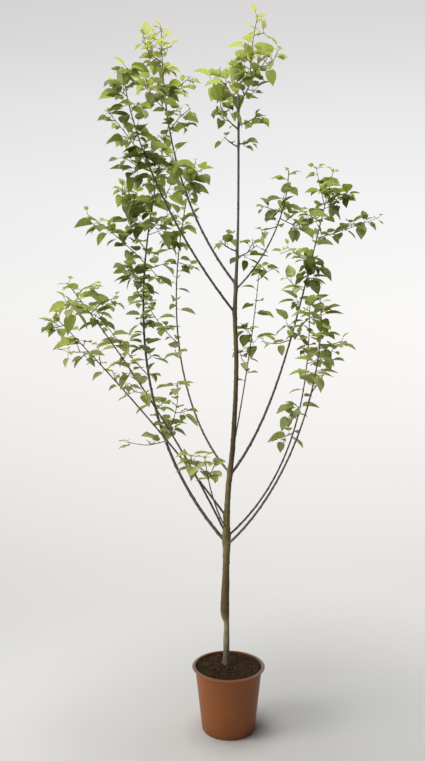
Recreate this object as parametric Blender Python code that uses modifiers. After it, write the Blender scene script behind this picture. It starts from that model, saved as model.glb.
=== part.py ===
"""Young apricot tree in a plastic nursery pot.

Metres, +Z up. The origin is the centre of the pot's flat underside, +X is to the right of the
tree's front and +Y is to its back. The pot stands on the floor and is filled by the root ball. The
trunk rises from a flat cut at soil level to its pruned tip. Each bough is one tapering limb that
leaves the trunk at a named height, heading and lean. It ends where its mass of leaves begins, and
the mass's stem goes on along the same limb. Shoots, spurs and leaves grow on that stem by one
seeded rule, and each mass keeps to the space that is nearest to its own stem and shoots.
"""

import math
import random
from collections import namedtuple

import bmesh
import bpy
import numpy as np
from mathutils import Matrix, Vector

OBJECT_NAME = "potted_apricot_tree"
GAP = 0.0003

# Pot: a thin turned shell with a turned-out rim and drainage notches round its foot
POT_HEIGHT = 0.211
POT_RIM_RADIUS = 0.1235
POT_NECK_RADIUS = 0.1135
POT_RIM_DEPTH = 0.004
POT_FOOT_RADIUS = 0.0895
POT_FOOT_ROUNDING = 0.003
POT_WALL = 0.0014
POT_FLOOR = 0.0020
TURNING_STEPS = 36
NOTCH_COUNT = 8
NOTCH_WIDTH = 0.013
NOTCH_HEIGHT = 0.007
NOTCH_DEPTH = 0.012

# Root ball: fills the pot to just under its rim and is mounded a little round the trunk
SOIL_EDGE_HEIGHT = 0.2040
SOIL_TOP_HEIGHT = 0.2070
SOIL_TOP_RADIUS = 0.048

# Trunk: height, sideways place and diameter, from the root flare past the graft to the pruned tip
TRUNK_DEPTH = 0.022
TRUNK_COURSE = (
    (SOIL_TOP_HEIGHT + GAP, -0.0063, 0.0300),
    (0.2250, -0.0066, 0.0240),
    (0.2900, -0.0066, 0.0214),
    (0.3550, -0.0068, 0.0212),
    (0.3720, -0.0094, 0.0262),
    (0.4400, -0.0104, 0.0275),
    (0.4850, -0.0090, 0.0262),
    (0.5050, -0.0084, 0.0242),
    (0.6100, -0.0060, 0.0240),
    (0.7200, -0.0045, 0.0205),
    (0.8200, 0.0010, 0.0190),
    (0.9300, 0.0135, 0.0174),
    (1.0300, 0.0202, 0.0162),
    (1.2400, 0.0277, 0.0152),
    (1.4300, 0.0230, 0.0145),
    (1.5100, 0.0260, 0.0125),
    (1.6500, 0.0318, 0.0090),
    (1.9900, 0.0352, 0.0076),
    (2.1660, 0.0355, 0.0068),
)
TRUNK_STEP = 0.055

# Limbs
LIMB_STEP = 0.045
LIMB_TAPER = 0.8
LIMB_TIP_RADIUS = 0.0012
COLLAR_SWELL = 0.35
COLLAR_LENGTH = 0.030
SHOOT_RADIUS = 0.0016
SHOOT_TIP_RADIUS = 0.0010
SHOOT_STEP = 0.060

# Leaves and spurs
BUD_SPACING = 0.022
BUD_TURN = 137.5
OLD_WOOD = 0.30
SHOOT_OLD_WOOD = 0.15
OLD_WOOD_LEAFING = 0.33
YOUNG_WOOD_LEAFING = 0.92
SPUR_CHANCE = 0.40
SPUR_LENGTH = (0.015, 0.050)
SPUR_LEAVES = (2, 5)
LEAF_LENGTH = 0.065
LEAF_LENGTH_SPREAD = 0.28
LEAF_WIDTH_SHARE = 0.58
LEAF_WIDEST = 0.56
LEAF_THICKNESS_SHARE = 0.030
LEAF_SPLAY = (50, 85)
LEAF_DROOP = (-0.10, 0.65)
LEAF_ROLL = 36
TIP_LEAVES = 3
ONE_LEAF_IN = 3
KEPT_LEAF_WIDENING = 1.12
SPACE_MARGIN = 0.004
LIMB_CLEARANCE = 0.004

# A limb leaves the trunk at the height foot. Its heading is in degrees, 0 along +X and 90 to the
# back. Its lean from the vertical runs from foot_lean to tip_lean, sooner with a higher ease. It is
# a bough for the length bare and the stem of its mass of leaves from there to its whole length.
Limb = namedtuple("Limb", "foot heading foot_lean tip_lean ease length bare radius leaf seed shoots")

# A shoot leaves its limb at the distance at from the trunk, with its own heading and leans.
Shoot = namedtuple("Shoot", "at heading foot_lean tip_lean length")

LIMBS = {
    "low_left": Limb(
        0.622, 165, 45, -14, 1.72, 1.595, 0.400, 0.0056, 0.92, 116,
        (
            Shoot(0.412, 185, 110, 72, 0.136),
            Shoot(0.424, -30, 37, -7, 0.212),
            Shoot(0.651, 190, 44, 33, 0.303),
            Shoot(0.913, 205, 35, -3, 0.122),
            Shoot(1.031, 20, 70, 70, 0.089),
            Shoot(1.055, 172, 44, 55, 0.282),
            Shoot(1.101, 200, 45, -5, 0.259),
            Shoot(1.165, -25, 39, 79, 0.119),
            Shoot(1.259, 175, 72, 44, 0.122),
        ),
    ),
    "low_right_front": Limb(
        0.613, -55, 54, -12, 0.59, 0.960, 0.600, 0.0042, 1.00, 18,
        (
            Shoot(0.685, -10, 39, 12, 0.144),
            Shoot(0.831, 0, 96, 69, 0.066),
        ),
    ),
    "low_right_back": Limb(
        0.642, 25, 57, 1, 1.64, 0.945, 0.435, 0.0037, 0.90, 2,
        (
            Shoot(0.449, 215, 111, 97, 0.072),
            Shoot(0.773, 170, 31, 51, 0.055),
        ),
    ),
    "front_left": Limb(
        0.647, 205, 27, 39, 1.11, 1.002, 0.500, 0.0038, 1.05, 72,
        (
            Shoot(0.554, 240, 62, 87, 0.085),
            Shoot(0.884, 30, 36, 77, 0.102),
            Shoot(0.931, 250, 100, 95, 0.090),
            Shoot(0.951, 5, 23, 81, 0.059),
        ),
    ),
    "inner_left": Limb(
        0.670, 246, 52, 17, 1.04, 0.331, 0.225, 0.0028, 0.95, 55,
        (
            Shoot(0.252, -60, 46, 31, 0.081),
            Shoot(0.267, 190, 45, 60, 0.075),
        ),
    ),
    "far_left": Limb(
        0.709, 192, 36, 44, 1.15, 0.897, 0.500, 0.0036, 1.10, 110,
        (
            Shoot(0.568, 150, 56, 14, 0.078),
            Shoot(0.676, 140, 18, 9, 0.064),
            Shoot(0.735, 235, 93, 92, 0.093),
        ),
    ),
    "back_right": Limb(
        0.853, 42, 51, 20, 4.00, 1.325, 0.565, 0.0048, 0.95, 6,
        (
            Shoot(0.581, 200, 115, 72, 0.122),
            Shoot(0.790, 215, 81, 45, 0.104),
            Shoot(0.912, 160, 63, 47, 0.114),
            Shoot(1.016, 15, 72, 68, 0.288),
            Shoot(1.088, 215, 74, 73, 0.109),
            Shoot(1.160, 120, 20, 15, 0.180),
            Shoot(1.174, -15, 74, 76, 0.095),
        ),
    ),
    "back_left": Limb(
        0.862, 122, 64, -30, 1.25, 1.314, 0.500, 0.0040, 0.95, 51,
        (
            Shoot(0.604, 165, 50, 12, 0.355),
            Shoot(0.929, 20, 105, 94, 0.060),
            Shoot(1.002, 215, 87, 75, 0.079),
        ),
    ),
    "back": Limb(
        0.932, 68, 31, 16, 0.87, 0.752, 0.260, 0.0026, 0.95, 34,
        (
            Shoot(0.342, 200, 54, -3, 0.068),
            Shoot(0.702, 20, 46, 57, 0.083),
        ),
    ),
    "high_left_front": Limb(
        1.414, 214, 46, 4, 0.58, 0.849, 0.380, 0.0042, 1.18, 104,
        (
            Shoot(0.521, -20, 66, 38, 0.088),
            Shoot(0.541, 230, 91, 74, 0.123),
            Shoot(0.554, 200, 36, 44, 0.206),
        ),
    ),
    "high_right": Limb(
        1.494, -30, 51, 0, 0.85, 0.440, 0.240, 0.0030, 1.00, 123,
        (
            Shoot(0.255, 200, 114, 99, 0.058),
            Shoot(0.283, 20, 115, 99, 0.069),
            Shoot(0.302, 190, 73, 75, 0.067),
        ),
    ),
    "high_left": Limb(
        1.512, 172, 38, 1, 1.43, 0.959, 0.240, 0.0044, 1.18, 107,
        (
            Shoot(0.350, 120, 56, 58, 0.110),
            Shoot(0.596, -40, 47, 77, 0.111),
            Shoot(0.667, 215, 65, 43, 0.106),
            Shoot(0.703, 20, 41, 45, 0.136),
            Shoot(0.837, 200, 81, -2, 0.112),
        ),
    ),
    "leader_lower_spur": Limb(
        1.625, 205, 80, 50, 1.00, 0.075, 0.0, 0.0022, 1.15, 73,
        (Shoot(0.030, 150, 70, 40, 0.040),),
    ),
    "leader_right_spur": Limb(
        1.605, -20, 75, 50, 1.00, 0.080, 0.0, 0.0022, 1.15, 18,
        (Shoot(0.040, -60, 60, 40, 0.035),),
    ),
    "leader_middle_spur": Limb(1.985, 200, 75, 50, 1.00, 0.060, 0.0, 0.0020, 1.05, 63, ()),
    "leader_back_spur": Limb(1.995, 30, 75, 60, 1.00, 0.060, 0.0, 0.0020, 1.05, 83, ()),
    "leader_upper_spur": Limb(
        2.060, 10, 70, 50, 1.00, 0.090, 0.0, 0.0020, 1.05, 39,
        (Shoot(0.045, -40, 80, 60, 0.035),),
    ),
    "leader_left_spur": Limb(
        2.045, 205, 65, 30, 1.00, 0.095, 0.0, 0.0022, 1.10, 45,
        (Shoot(0.040, 160, 70, 40, 0.045), Shoot(0.060, 250, 80, 60, 0.045)),
    ),
    "top_left": Limb(2.101, 150, 14, 48, 1.09, 0.192, 0.0, 0.0024, 1.20, 123, ()),
    "top_right": Limb(
        2.132, -60, 67, 8, 0.42, 0.164, 0.0, 0.0030, 1.12, 12,
        (
            Shoot(0.039, 200, 17, 20, 0.090),
            Shoot(0.086, 150, 1, -15, 0.222),
            Shoot(0.139, 20, 89, 7, 0.114),
        ),
    ),
}

POT_COLOUR = (0.27, 0.085, 0.032)
SOIL_COLOUR = (0.030, 0.018, 0.011)
TRUNK_COLOUR = (0.105, 0.072, 0.045)
BOUGH_COLOUR = (0.070, 0.055, 0.046)
LEAF_COLOUR = (0.150, 0.300, 0.030)

Leaf = namedtuple("Leaf", "root direction facing length width")

# A spray is one twig, the stem, a shoot or a spur, with the leaves that grow straight from it.
Spray = namedtuple("Spray", "points radii leaves")


# ---- Materials and collections ----


def make_material(name, colour, roughness):
    material = bpy.data.materials.new(name)
    material.use_nodes = True
    shader = material.node_tree.nodes["Principled BSDF"]
    shader.inputs["Base Color"].default_value = (*colour, 1.0)
    shader.inputs["Roughness"].default_value = roughness
    shader.inputs["Metallic"].default_value = 0.0
    return material


def make_collection(name):
    collection = bpy.data.collections.new(name)
    bpy.context.scene.collection.children.link(collection)
    return collection


def add_object(name, data, collection, material=None):
    item = bpy.data.objects.new(name, data)
    collection.objects.link(item)
    if material:
        data.materials.append(material)
    return item


def hide_as_cutter(item):
    item.hide_render = True
    item.display_type = "WIRE"


# ---- Turned pieces ----


def turned(name, profile, collection, material):
    """A profile at +X, which runs down its outer side, turned round the Z axis."""
    mesh = bpy.data.meshes.new(name)
    form = bmesh.new()
    corners = [form.verts.new((radius, 0.0, height)) for radius, height in profile]
    for first, second in zip(corners, corners[1:]):
        form.edges.new((first, second))
    form.to_mesh(mesh)
    form.free()
    item = add_object(name, mesh, collection, material)
    screw = item.modifiers.new("turn", "SCREW")
    screw.axis = "Z"
    screw.angle = math.tau
    screw.steps = TURNING_STEPS
    screw.render_steps = TURNING_STEPS
    screw.use_merge_vertices = True
    screw.merge_threshold = 0.00001
    screw.use_smooth_shade = True
    return item


def pot_outer_radius(height):
    """The outside of the tapering wall below the rim."""
    share = height / (POT_HEIGHT - POT_RIM_DEPTH)
    return POT_FOOT_RADIUS + (POT_NECK_RADIUS - POT_FOOT_RADIUS) * share


def pot_inner_radius(height):
    return pot_outer_radius(height) - POT_WALL


def make_pot(collection, cutters):
    rim_bottom = POT_HEIGHT - POT_RIM_DEPTH
    rim_edge = POT_WALL * 0.6
    profile = (
        (0.0, POT_FLOOR),
        (pot_inner_radius(POT_FLOOR), POT_FLOOR),
        (pot_inner_radius(rim_bottom), rim_bottom),
        (POT_NECK_RADIUS, POT_HEIGHT - rim_edge),
        (POT_NECK_RADIUS + rim_edge, POT_HEIGHT),
        (POT_RIM_RADIUS - rim_edge, POT_HEIGHT),
        (POT_RIM_RADIUS, POT_HEIGHT - rim_edge),
        (POT_RIM_RADIUS, rim_bottom),
        (POT_NECK_RADIUS, rim_bottom),
        (pot_outer_radius(POT_FOOT_ROUNDING), POT_FOOT_ROUNDING),
        (POT_FOOT_RADIUS - POT_FOOT_ROUNDING, 0.0),
        (0.0, 0.0),
    )
    material = make_material("terracotta_plastic", POT_COLOUR, 0.42)
    pot = turned("pot", profile, collection, material)
    notches = bpy.data.collections.new("pot_notches")
    cutters.children.link(notches)
    for index in range(NOTCH_COUNT):
        turn = Matrix.Rotation(math.tau * (index + 0.5) / NOTCH_COUNT, 4, "Z")
        size = Matrix.Diagonal((NOTCH_DEPTH, NOTCH_WIDTH, NOTCH_HEIGHT * 2, 1.0))
        mesh = bpy.data.meshes.new("pot_notch")
        form = bmesh.new()
        out = Matrix.Translation((POT_FOOT_RADIUS, 0.0, 0.0))
        bmesh.ops.create_cube(form, size=1.0, matrix=turn @ out @ size)
        form.to_mesh(mesh)
        form.free()
        notch = add_object("pot_notch", mesh, notches)
        hide_as_cutter(notch)
    cut = pot.modifiers.new("drainage_notches", "BOOLEAN")
    cut.operation = "DIFFERENCE"
    cut.operand_type = "COLLECTION"
    cut.collection = notches
    cut.solver = "EXACT"


def make_root_ball(collection):
    floor = POT_FLOOR + GAP
    profile = (
        (0.0, SOIL_TOP_HEIGHT),
        (SOIL_TOP_RADIUS, SOIL_TOP_HEIGHT),
        (SOIL_TOP_RADIUS * 1.7, (SOIL_TOP_HEIGHT + SOIL_EDGE_HEIGHT) / 2),
        (pot_inner_radius(SOIL_EDGE_HEIGHT) - GAP, SOIL_EDGE_HEIGHT),
        (pot_inner_radius(floor) - GAP, floor),
        (0.0, floor),
    )
    turned("root_ball", profile, collection, make_material("peat_soil", SOIL_COLOUR, 0.95))


# ---- Limbs ----


def trunk_at(height):
    """The trunk's centre and radius at a height, smooth through its course."""
    rows = np.array(TRUNK_COURSE)
    height = min(max(height, rows[0, 0]), rows[-1, 0])
    slopes = np.gradient(rows[:, 1:], rows[:, 0], axis=0)
    index = int(min(np.searchsorted(rows[:, 0], height, side="right"), len(rows) - 1)) - 1
    span = rows[index + 1, 0] - rows[index, 0]
    t = (height - rows[index, 0]) / span
    near = (2 * t**3 - 3 * t**2 + 1) * rows[index, 1:]
    far = (3 * t**2 - 2 * t**3) * rows[index + 1, 1:]
    bend = (t**3 - 2 * t**2 + t) * slopes[index] + (t**3 - t**2) * slopes[index + 1]
    place, diameter = near + far + bend * span
    return Vector((place, TRUNK_DEPTH, height)), diameter / 2


def leaning_path(start, heading, foot_lean, tip_lean, ease, length, step):
    """Points along a limb whose lean from the vertical runs from its foot's to its tip's."""
    count = max(2, round(length / step))
    points = [Vector(start)]
    for index in range(count):
        share = (index + 0.5) / count
        lean = math.radians(tip_lean + (foot_lean - tip_lean) * (1 - share) ** ease)
        across = Matrix.Rotation(math.radians(heading), 3, "Z") @ Vector((math.sin(lean), 0, 0))
        points.append(points[-1] + (across + Vector((0, 0, math.cos(lean)))) * (length / count))
    return points


def path_place(points, distance):
    """The point and the direction at a distance along a path."""
    for first, second in zip(points, points[1:]):
        piece = (second - first).length
        if distance <= piece or second is points[-1]:
            return first.lerp(second, distance / piece), (second - first).normalized()
        distance -= piece


def path_part(points, start, end):
    """The stretch of a path between two distances along it."""
    part = [path_place(points, start)[0]]
    passed = 0.0
    for first, second in zip(points, points[1:]):
        passed += (second - first).length
        if start + 0.004 < passed < end - 0.004:
            part.append(second)
    part.append(path_place(points, end)[0])
    return part


def limb_path(limb):
    foot, _ = trunk_at(limb.foot)
    lean = (limb.foot_lean, limb.tip_lean, limb.ease)
    return leaning_path(foot, limb.heading, *lean, limb.length, LIMB_STEP)


def shoot_path(limb, shoot):
    start, _ = path_place(limb_path(limb), shoot.at)
    lean = (shoot.foot_lean, shoot.tip_lean, 1.0)
    return leaning_path(start, shoot.heading, *lean, shoot.length, SHOOT_STEP)


def limb_radius(limb, distance):
    """A limb's radius at a distance from the trunk's axis, with the collar at its foot."""
    share = min(distance / limb.length, 1.0)
    taper = LIMB_TIP_RADIUS + (limb.radius - LIMB_TIP_RADIUS) * (1 - share) ** LIMB_TAPER
    collar = 1 + COLLAR_SWELL * max(0.0, 1 - distance / COLLAR_LENGTH) ** 2
    return taper * collar


def tube(name, points, radii, sides, collection):
    """A closed mesh tube along the points, made from a curve with a round or three-sided bevel."""
    data = bpy.data.curves.new(name, "CURVE")
    data.dimensions = "3D"
    data.use_fill_caps = True
    data.bevel_depth = 1.0
    data.bevel_resolution = max(0, sides // 2 - 2)
    section = None
    if sides == 3:
        section = three_sided_section()
        data.bevel_mode = "OBJECT"
        data.bevel_object = section
    spline = data.splines.new("POLY")
    spline.points.add(len(points) - 1)
    for corner, point, radius in zip(spline.points, points, radii):
        corner.co = (*point, 1.0)
        corner.radius = radius
    curve = bpy.data.objects.new(name, data)
    collection.objects.link(curve)
    graph = bpy.context.evaluated_depsgraph_get()
    mesh = bpy.data.meshes.new_from_object(curve.evaluated_get(graph))
    bpy.data.objects.remove(curve)
    if section:
        bpy.data.objects.remove(section)
    form = bmesh.new()
    form.from_mesh(mesh)
    bmesh.ops.remove_doubles(form, verts=form.verts, dist=0.00001)
    bmesh.ops.recalc_face_normals(form, faces=form.faces)
    form.to_mesh(mesh)
    form.free()
    return add_object(name, mesh, collection)


def three_sided_section():
    """A triangle of radius 1, the cross-section of every twig."""
    data = bpy.data.curves.new("twig_section", "CURVE")
    spline = data.splines.new("POLY")
    spline.points.add(2)
    for index, corner in enumerate(spline.points):
        angle = math.tau * index / 3
        corner.co = (math.cos(angle), math.sin(angle), 0.0, 1.0)
    spline.use_cyclic_u = True
    section = bpy.data.objects.new("twig_section", data)
    bpy.context.scene.collection.objects.link(section)
    return section


def make_trunk(collection, cutters):
    """The trunk, and a copy a gap thicker all round that trims what grows on it."""
    low, high = TRUNK_COURSE[0][0], TRUNK_COURSE[-1][0]
    count = round((high - low) / TRUNK_STEP)
    heights = [low, low + TRUNK_STEP / 3]
    heights += [low + (high - low) * index / count for index in range(1, count + 1)]
    places = [trunk_at(height) for height in heights]
    points = [centre for centre, _ in places]
    points[1].x = points[0].x
    points[-2].x = points[-1].x
    radii = [radius for _, radius in places]
    trunk = tube("trunk", points, radii, 10, collection)
    trunk.data.materials.append(make_material("trunk_bark", TRUNK_COLOUR, 0.80))
    trunk.data.shade_smooth()
    wider = [radius + GAP for radius in radii]
    cutter = tube("trunk_clearance", points, wider, 10, cutters)
    hide_as_cutter(cutter)
    return cutter


def trim_off_trunk(item, trunk_cutter):
    cut = item.modifiers.new("clear_of_trunk", "BOOLEAN")
    cut.operation = "DIFFERENCE"
    cut.object = trunk_cutter
    cut.solver = "EXACT"


def make_bough(name, limb, collection, material):
    points = path_part(limb_path(limb), 0.0, limb.bare)
    distances = [0.0]
    for first, second in zip(points, points[1:]):
        distances.append(distances[-1] + (second - first).length)
    radii = [limb_radius(limb, distance) for distance in distances]
    bough = tube("bough_" + name, points, radii, 6, collection)
    bough.data.materials.append(material)
    bough.data.shade_smooth()
    return bough


# ---- The space of each mass ----


def samples_along(points, step=0.012):
    """Points at even steps along a path, as rows of an array."""
    length = sum((b - a).length for a, b in zip(points, points[1:]))
    count = max(2, math.ceil(length / step))
    return np.array([path_place(points, length * i / count)[0] for i in range(count + 1)])


def wood_samples():
    """The centres and radii of the trunk and every bough, for keeping leaves clear of them."""
    rows = []
    height = TRUNK_COURSE[0][0]
    while height < TRUNK_COURSE[-1][0]:
        centre, radius = trunk_at(height)
        rows.append((*centre, radius))
        height += 0.008
    for limb in LIMBS.values():
        if limb.bare:
            for point in samples_along(path_part(limb_path(limb), 0.0, limb.bare), 0.008):
                rows.append((*point, limb.radius))
    return np.array(rows)


def space_samples():
    """For each mass, points along its stem and named shoots: the mass keeps nearest to its own."""
    spaces = {}
    for name, limb in LIMBS.items():
        paths = [path_part(limb_path(limb), limb.bare, limb.length)]
        paths += [shoot_path(limb, shoot) for shoot in limb.shoots]
        spaces[name] = np.concatenate([samples_along(path) for path in paths])
    return spaces


class Space:
    """Tells whether points lie in one mass's own space and clear of the wood."""

    def __init__(self, name, spaces, wood):
        self.own = spaces[name]
        self.others = np.concatenate([rows for key, rows in spaces.items() if key != name])
        self.wood = wood

    def holds(self, points):
        at = np.array(points)[:, None, :]
        own = np.linalg.norm(at - self.own, axis=2).min(axis=1)
        others = np.linalg.norm(at - self.others, axis=2).min(axis=1)
        wood = (np.linalg.norm(at - self.wood[:, :3], axis=2) - self.wood[:, 3]).min(axis=1)
        return bool((own + SPACE_MARGIN < others).all() and wood.min() > LIMB_CLEARANCE)


# ---- The rule that grows each mass ----


def outward_from(direction, turn):
    """A direction square to the twig's, turned round it by an angle in degrees."""
    side = direction.cross(Vector((0, 0, 1)))
    if side.length < 0.05:
        side = Vector((1, 0, 0))
    side.normalize()
    return Matrix.Rotation(math.radians(turn), 3, direction) @ side


def leaf_points(leaf):
    """The corners and the midline of a leaf, past its root."""
    across = leaf.facing.cross(leaf.direction) * (leaf.width / 2)
    widest = leaf.root + leaf.direction * (leaf.length * LEAF_WIDEST)
    midline = [leaf.root + leaf.direction * (leaf.length * share) for share in (0.4, 0.75, 1.0)]
    return midline + [widest + across, widest - across]


def grow_leaf(root, direction, outward, size, rng):
    """One leaf that splays from its twig and droops."""
    splay = math.radians(rng.uniform(*LEAF_SPLAY))
    droop = rng.uniform(*LEAF_DROOP)
    roll = math.radians(rng.uniform(-LEAF_ROLL, LEAF_ROLL))
    length = size * (1 + rng.uniform(-LEAF_LENGTH_SPREAD, LEAF_LENGTH_SPREAD))
    way = direction * math.cos(splay) + outward * math.sin(splay) - Vector((0, 0, droop))
    way.normalize()
    side = way.cross(Vector((0, 0, 1)))
    if side.length < 0.05:
        side = outward.cross(way)
    facing = Matrix.Rotation(roll, 3, way) @ side.normalized().cross(way)
    return Leaf(root, way, facing, length, length * LEAF_WIDTH_SHARE)


def grow_spur(root, direction, outward, size, rng, space):
    """A short side shoot with a few leaves round its end, where its space has room."""
    length = rng.uniform(*SPUR_LENGTH)
    way = (direction * 0.55 + outward).normalized()
    tip = root + way * length
    turn = rng.uniform(0, 360)
    leaves = []
    for index in range(rng.randint(*SPUR_LEAVES)):
        around = outward_from(way, turn + index * BUD_TURN)
        leaf = grow_leaf(tip - way * (0.003 + 0.004 * index), way, around, size, rng)
        if space.holds(leaf_points(leaf)):
            leaves.append(leaf)
    if not leaves or not space.holds([root.lerp(tip, 0.7), tip]):
        return None
    return Spray([root, tip + way * 0.001], [SHOOT_RADIUS, SHOOT_TIP_RADIUS], leaves)


def grow_along(points, radii, size, rng, space, old_share):
    """Buds at even steps and turning angles, each bare, with one leaf or with a leafy spur."""
    length = sum((b - a).length for a, b in zip(points, points[1:]))
    spurs = []
    leaves = []
    turn = rng.uniform(0, 360)
    distance = BUD_SPACING
    while distance < length - BUD_SPACING * 0.3:
        root, direction = path_place(points, distance)
        outward = outward_from(direction, turn)
        young = distance / length >= old_share
        if rng.random() < (YOUNG_WOOD_LEAFING if young else OLD_WOOD_LEAFING):
            if rng.random() < SPUR_CHANCE or not young:
                spur = grow_spur(root, direction, outward, size, rng, space)
                if spur:
                    spurs.append(spur)
            else:
                leaves.append(grow_leaf(root, direction, outward, size, rng))
        turn += BUD_TURN + rng.uniform(-20, 20)
        distance += BUD_SPACING * rng.uniform(0.75, 1.25)
    for index in range(TIP_LEAVES):
        tip, direction = path_place(points, length - 0.003 - 0.004 * index)
        outward = outward_from(direction, turn + index * BUD_TURN)
        leaves.append(grow_leaf(tip, direction * 1.6, outward, size, rng))
    kept = [leaf for leaf in leaves if space.holds(leaf_points(leaf))]
    return [Spray(points, radii, kept)] + spurs


def grow_mass(limb, space):
    """The stem and its named shoots and, from the limb's seed, their spurs and leaves."""
    rng = random.Random(limb.seed)
    size = LEAF_LENGTH * limb.leaf
    start = limb.bare + GAP if limb.bare else 0.0
    stem = path_part(limb_path(limb), start, limb.length)
    distances = np.linspace(start, limb.length, len(stem))
    radii = [limb_radius(limb, distance) for distance in distances]
    sprays = grow_along(stem, radii, size, rng, space, OLD_WOOD if limb.bare else 0.0)
    for shoot in limb.shoots:
        points = shoot_path(limb, shoot)
        radii = list(np.linspace(SHOOT_RADIUS * 1.15, SHOOT_TIP_RADIUS, len(points)))
        sprays += grow_along(points, radii, size, rng, space, SHOOT_OLD_WOOD)
    return sprays


def thinned(sprays):
    """An even share of the leaves, and no spur that is left bare."""
    kept = []
    count = 0
    for spray in sprays:
        leaves = []
        for leaf in spray.leaves:
            if count % ONE_LEAF_IN == 0:
                leaves.append(leaf)
            count += 1
        if leaves or len(spray.points) > 2:
            kept.append(spray._replace(leaves=leaves))
    return kept


# ---- Masses as solids ----


def leaf_object(leaf, collection):
    """A leaf of eight faces: a sphere of four sides drawn out to root, tip and edges."""
    mesh = bpy.data.meshes.new("leaf")
    form = bmesh.new()
    bmesh.ops.create_uvsphere(form, u_segments=4, v_segments=2, radius=1.0)
    across = leaf.facing.cross(leaf.direction)
    middle = leaf.root + leaf.direction * (leaf.length * LEAF_WIDEST)
    width = leaf.width * KEPT_LEAF_WIDENING
    thickness = leaf.length * LEAF_THICKNESS_SHARE
    for corner in form.verts:
        x, y, z = corner.co
        reach = leaf.length * (1 - LEAF_WIDEST) if z > 0 else leaf.length * LEAF_WIDEST
        corner.co = (
            middle
            + leaf.direction * (z * reach)
            + across * (x * width / 2)
            + leaf.facing * (y * thickness / 2)
        )
    bmesh.ops.recalc_face_normals(form, faces=form.faces)
    form.to_mesh(mesh)
    form.free()
    return add_object("leaf", mesh, collection)


def keep_largest_body(form):
    """Drop loose scraps and the shells of sealed hollows."""
    unseen = set(form.verts)
    bodies = []
    while unseen:
        body = set()
        edge = [next(iter(unseen))]
        while edge:
            corner = edge.pop()
            if corner in unseen:
                unseen.remove(corner)
                body.add(corner)
                edge.extend(link.other_vert(corner) for link in corner.link_edges)
        bodies.append(body)
    bodies.sort(key=len)
    scraps = [corner for body in bodies[:-1] for corner in body]
    bmesh.ops.delete(form, geom=scraps, context="VERTS")


def fuse(stem, pieces):
    """One union of the stem with every twig and leaf of its mass, applied to the stem's mesh."""
    join = stem.modifiers.new("fuse", "BOOLEAN")
    join.operation = "UNION"
    join.operand_type = "COLLECTION"
    join.collection = pieces
    join.solver = "EXACT"
    graph = bpy.context.evaluated_depsgraph_get()
    fused = bpy.data.meshes.new_from_object(stem.evaluated_get(graph))
    stem.modifiers.clear()
    stem.data = fused
    for item in list(pieces.objects):
        bpy.data.objects.remove(item)
    bpy.data.collections.remove(pieces)
    form = bmesh.new()
    form.from_mesh(fused)
    keep_largest_body(form)
    form.to_mesh(fused)
    form.free()


def make_mass(name, limb, space, collection, material):
    sprays = thinned(grow_mass(limb, space))
    stem = tube("leaves_" + name, sprays[0].points, sprays[0].radii, 3, collection)
    pieces = make_collection("pieces_" + name)
    for spray in sprays[1:]:
        tube("twig", spray.points, spray.radii, 3, pieces)
    for spray in sprays:
        for leaf in spray.leaves:
            leaf_object(leaf, pieces)
    fuse(stem, pieces)
    stem.data.materials.clear()
    stem.data.materials.append(material)
    return stem


def main():
    for item in list(bpy.data.objects):
        bpy.data.objects.remove(item)
    collection = make_collection(OBJECT_NAME)
    cutters = make_collection("cutters")
    trunk_cutter = make_trunk(collection, cutters)
    bark = make_material("bough_bark", BOUGH_COLOUR, 0.75)
    foliage = make_material("apricot_leaves", LEAF_COLOUR, 0.55)
    spaces = space_samples()
    wood = wood_samples()
    rooted = []
    for name, limb in LIMBS.items():
        mass = make_mass(name, limb, Space(name, spaces, wood), collection, foliage)
        rooted.append(make_bough(name, limb, collection, bark) if limb.bare else mass)
    for item in rooted:
        trim_off_trunk(item, trunk_cutter)
    make_root_ball(collection)
    make_pot(collection, cutters)


if __name__ == "__main__":
    main()
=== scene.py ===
"""Bark, twigs, leaves, pot, soil and studio of the young apricot tree in its nursery pot.

Metres, +Z up, +X to the right of the tree's front and +Y to its back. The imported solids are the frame. Each
limb, twig and leaf grows here by the same rule and seeds as its solid, and is carried on to finer twigs.
"""

import functools
import math
import random
from collections import namedtuple

import bmesh
import bpy
import numpy as np
from mathutils import Matrix, Vector, noise


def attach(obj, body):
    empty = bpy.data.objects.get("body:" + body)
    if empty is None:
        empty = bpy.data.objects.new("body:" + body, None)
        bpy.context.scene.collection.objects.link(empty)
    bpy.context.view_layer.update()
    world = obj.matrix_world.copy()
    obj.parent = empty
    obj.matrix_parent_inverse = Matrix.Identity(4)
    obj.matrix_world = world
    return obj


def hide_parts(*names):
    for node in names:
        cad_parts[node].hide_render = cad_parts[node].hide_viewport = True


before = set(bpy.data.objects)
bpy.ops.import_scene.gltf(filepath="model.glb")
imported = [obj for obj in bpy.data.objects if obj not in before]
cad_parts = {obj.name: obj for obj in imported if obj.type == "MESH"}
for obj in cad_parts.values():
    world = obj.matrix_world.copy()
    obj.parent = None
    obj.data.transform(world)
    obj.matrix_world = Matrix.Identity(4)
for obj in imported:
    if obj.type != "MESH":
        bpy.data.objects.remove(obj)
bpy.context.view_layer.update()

bl_info = {
    "name": "Potted apricot tree",
    "version": (1, 0, 0),
    "blender": (4, 5, 0),
    "location": "3D View > Sidebar > Apricot",
    "description": "Models the bark, twigs, leaves, pot and soil of a young apricot tree in a nursery pot",
    "category": "Object",
}

UP = Vector((0, 0, 1))
GAP = 0.0003

# ---- Sizes that the solids have too ----

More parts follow.
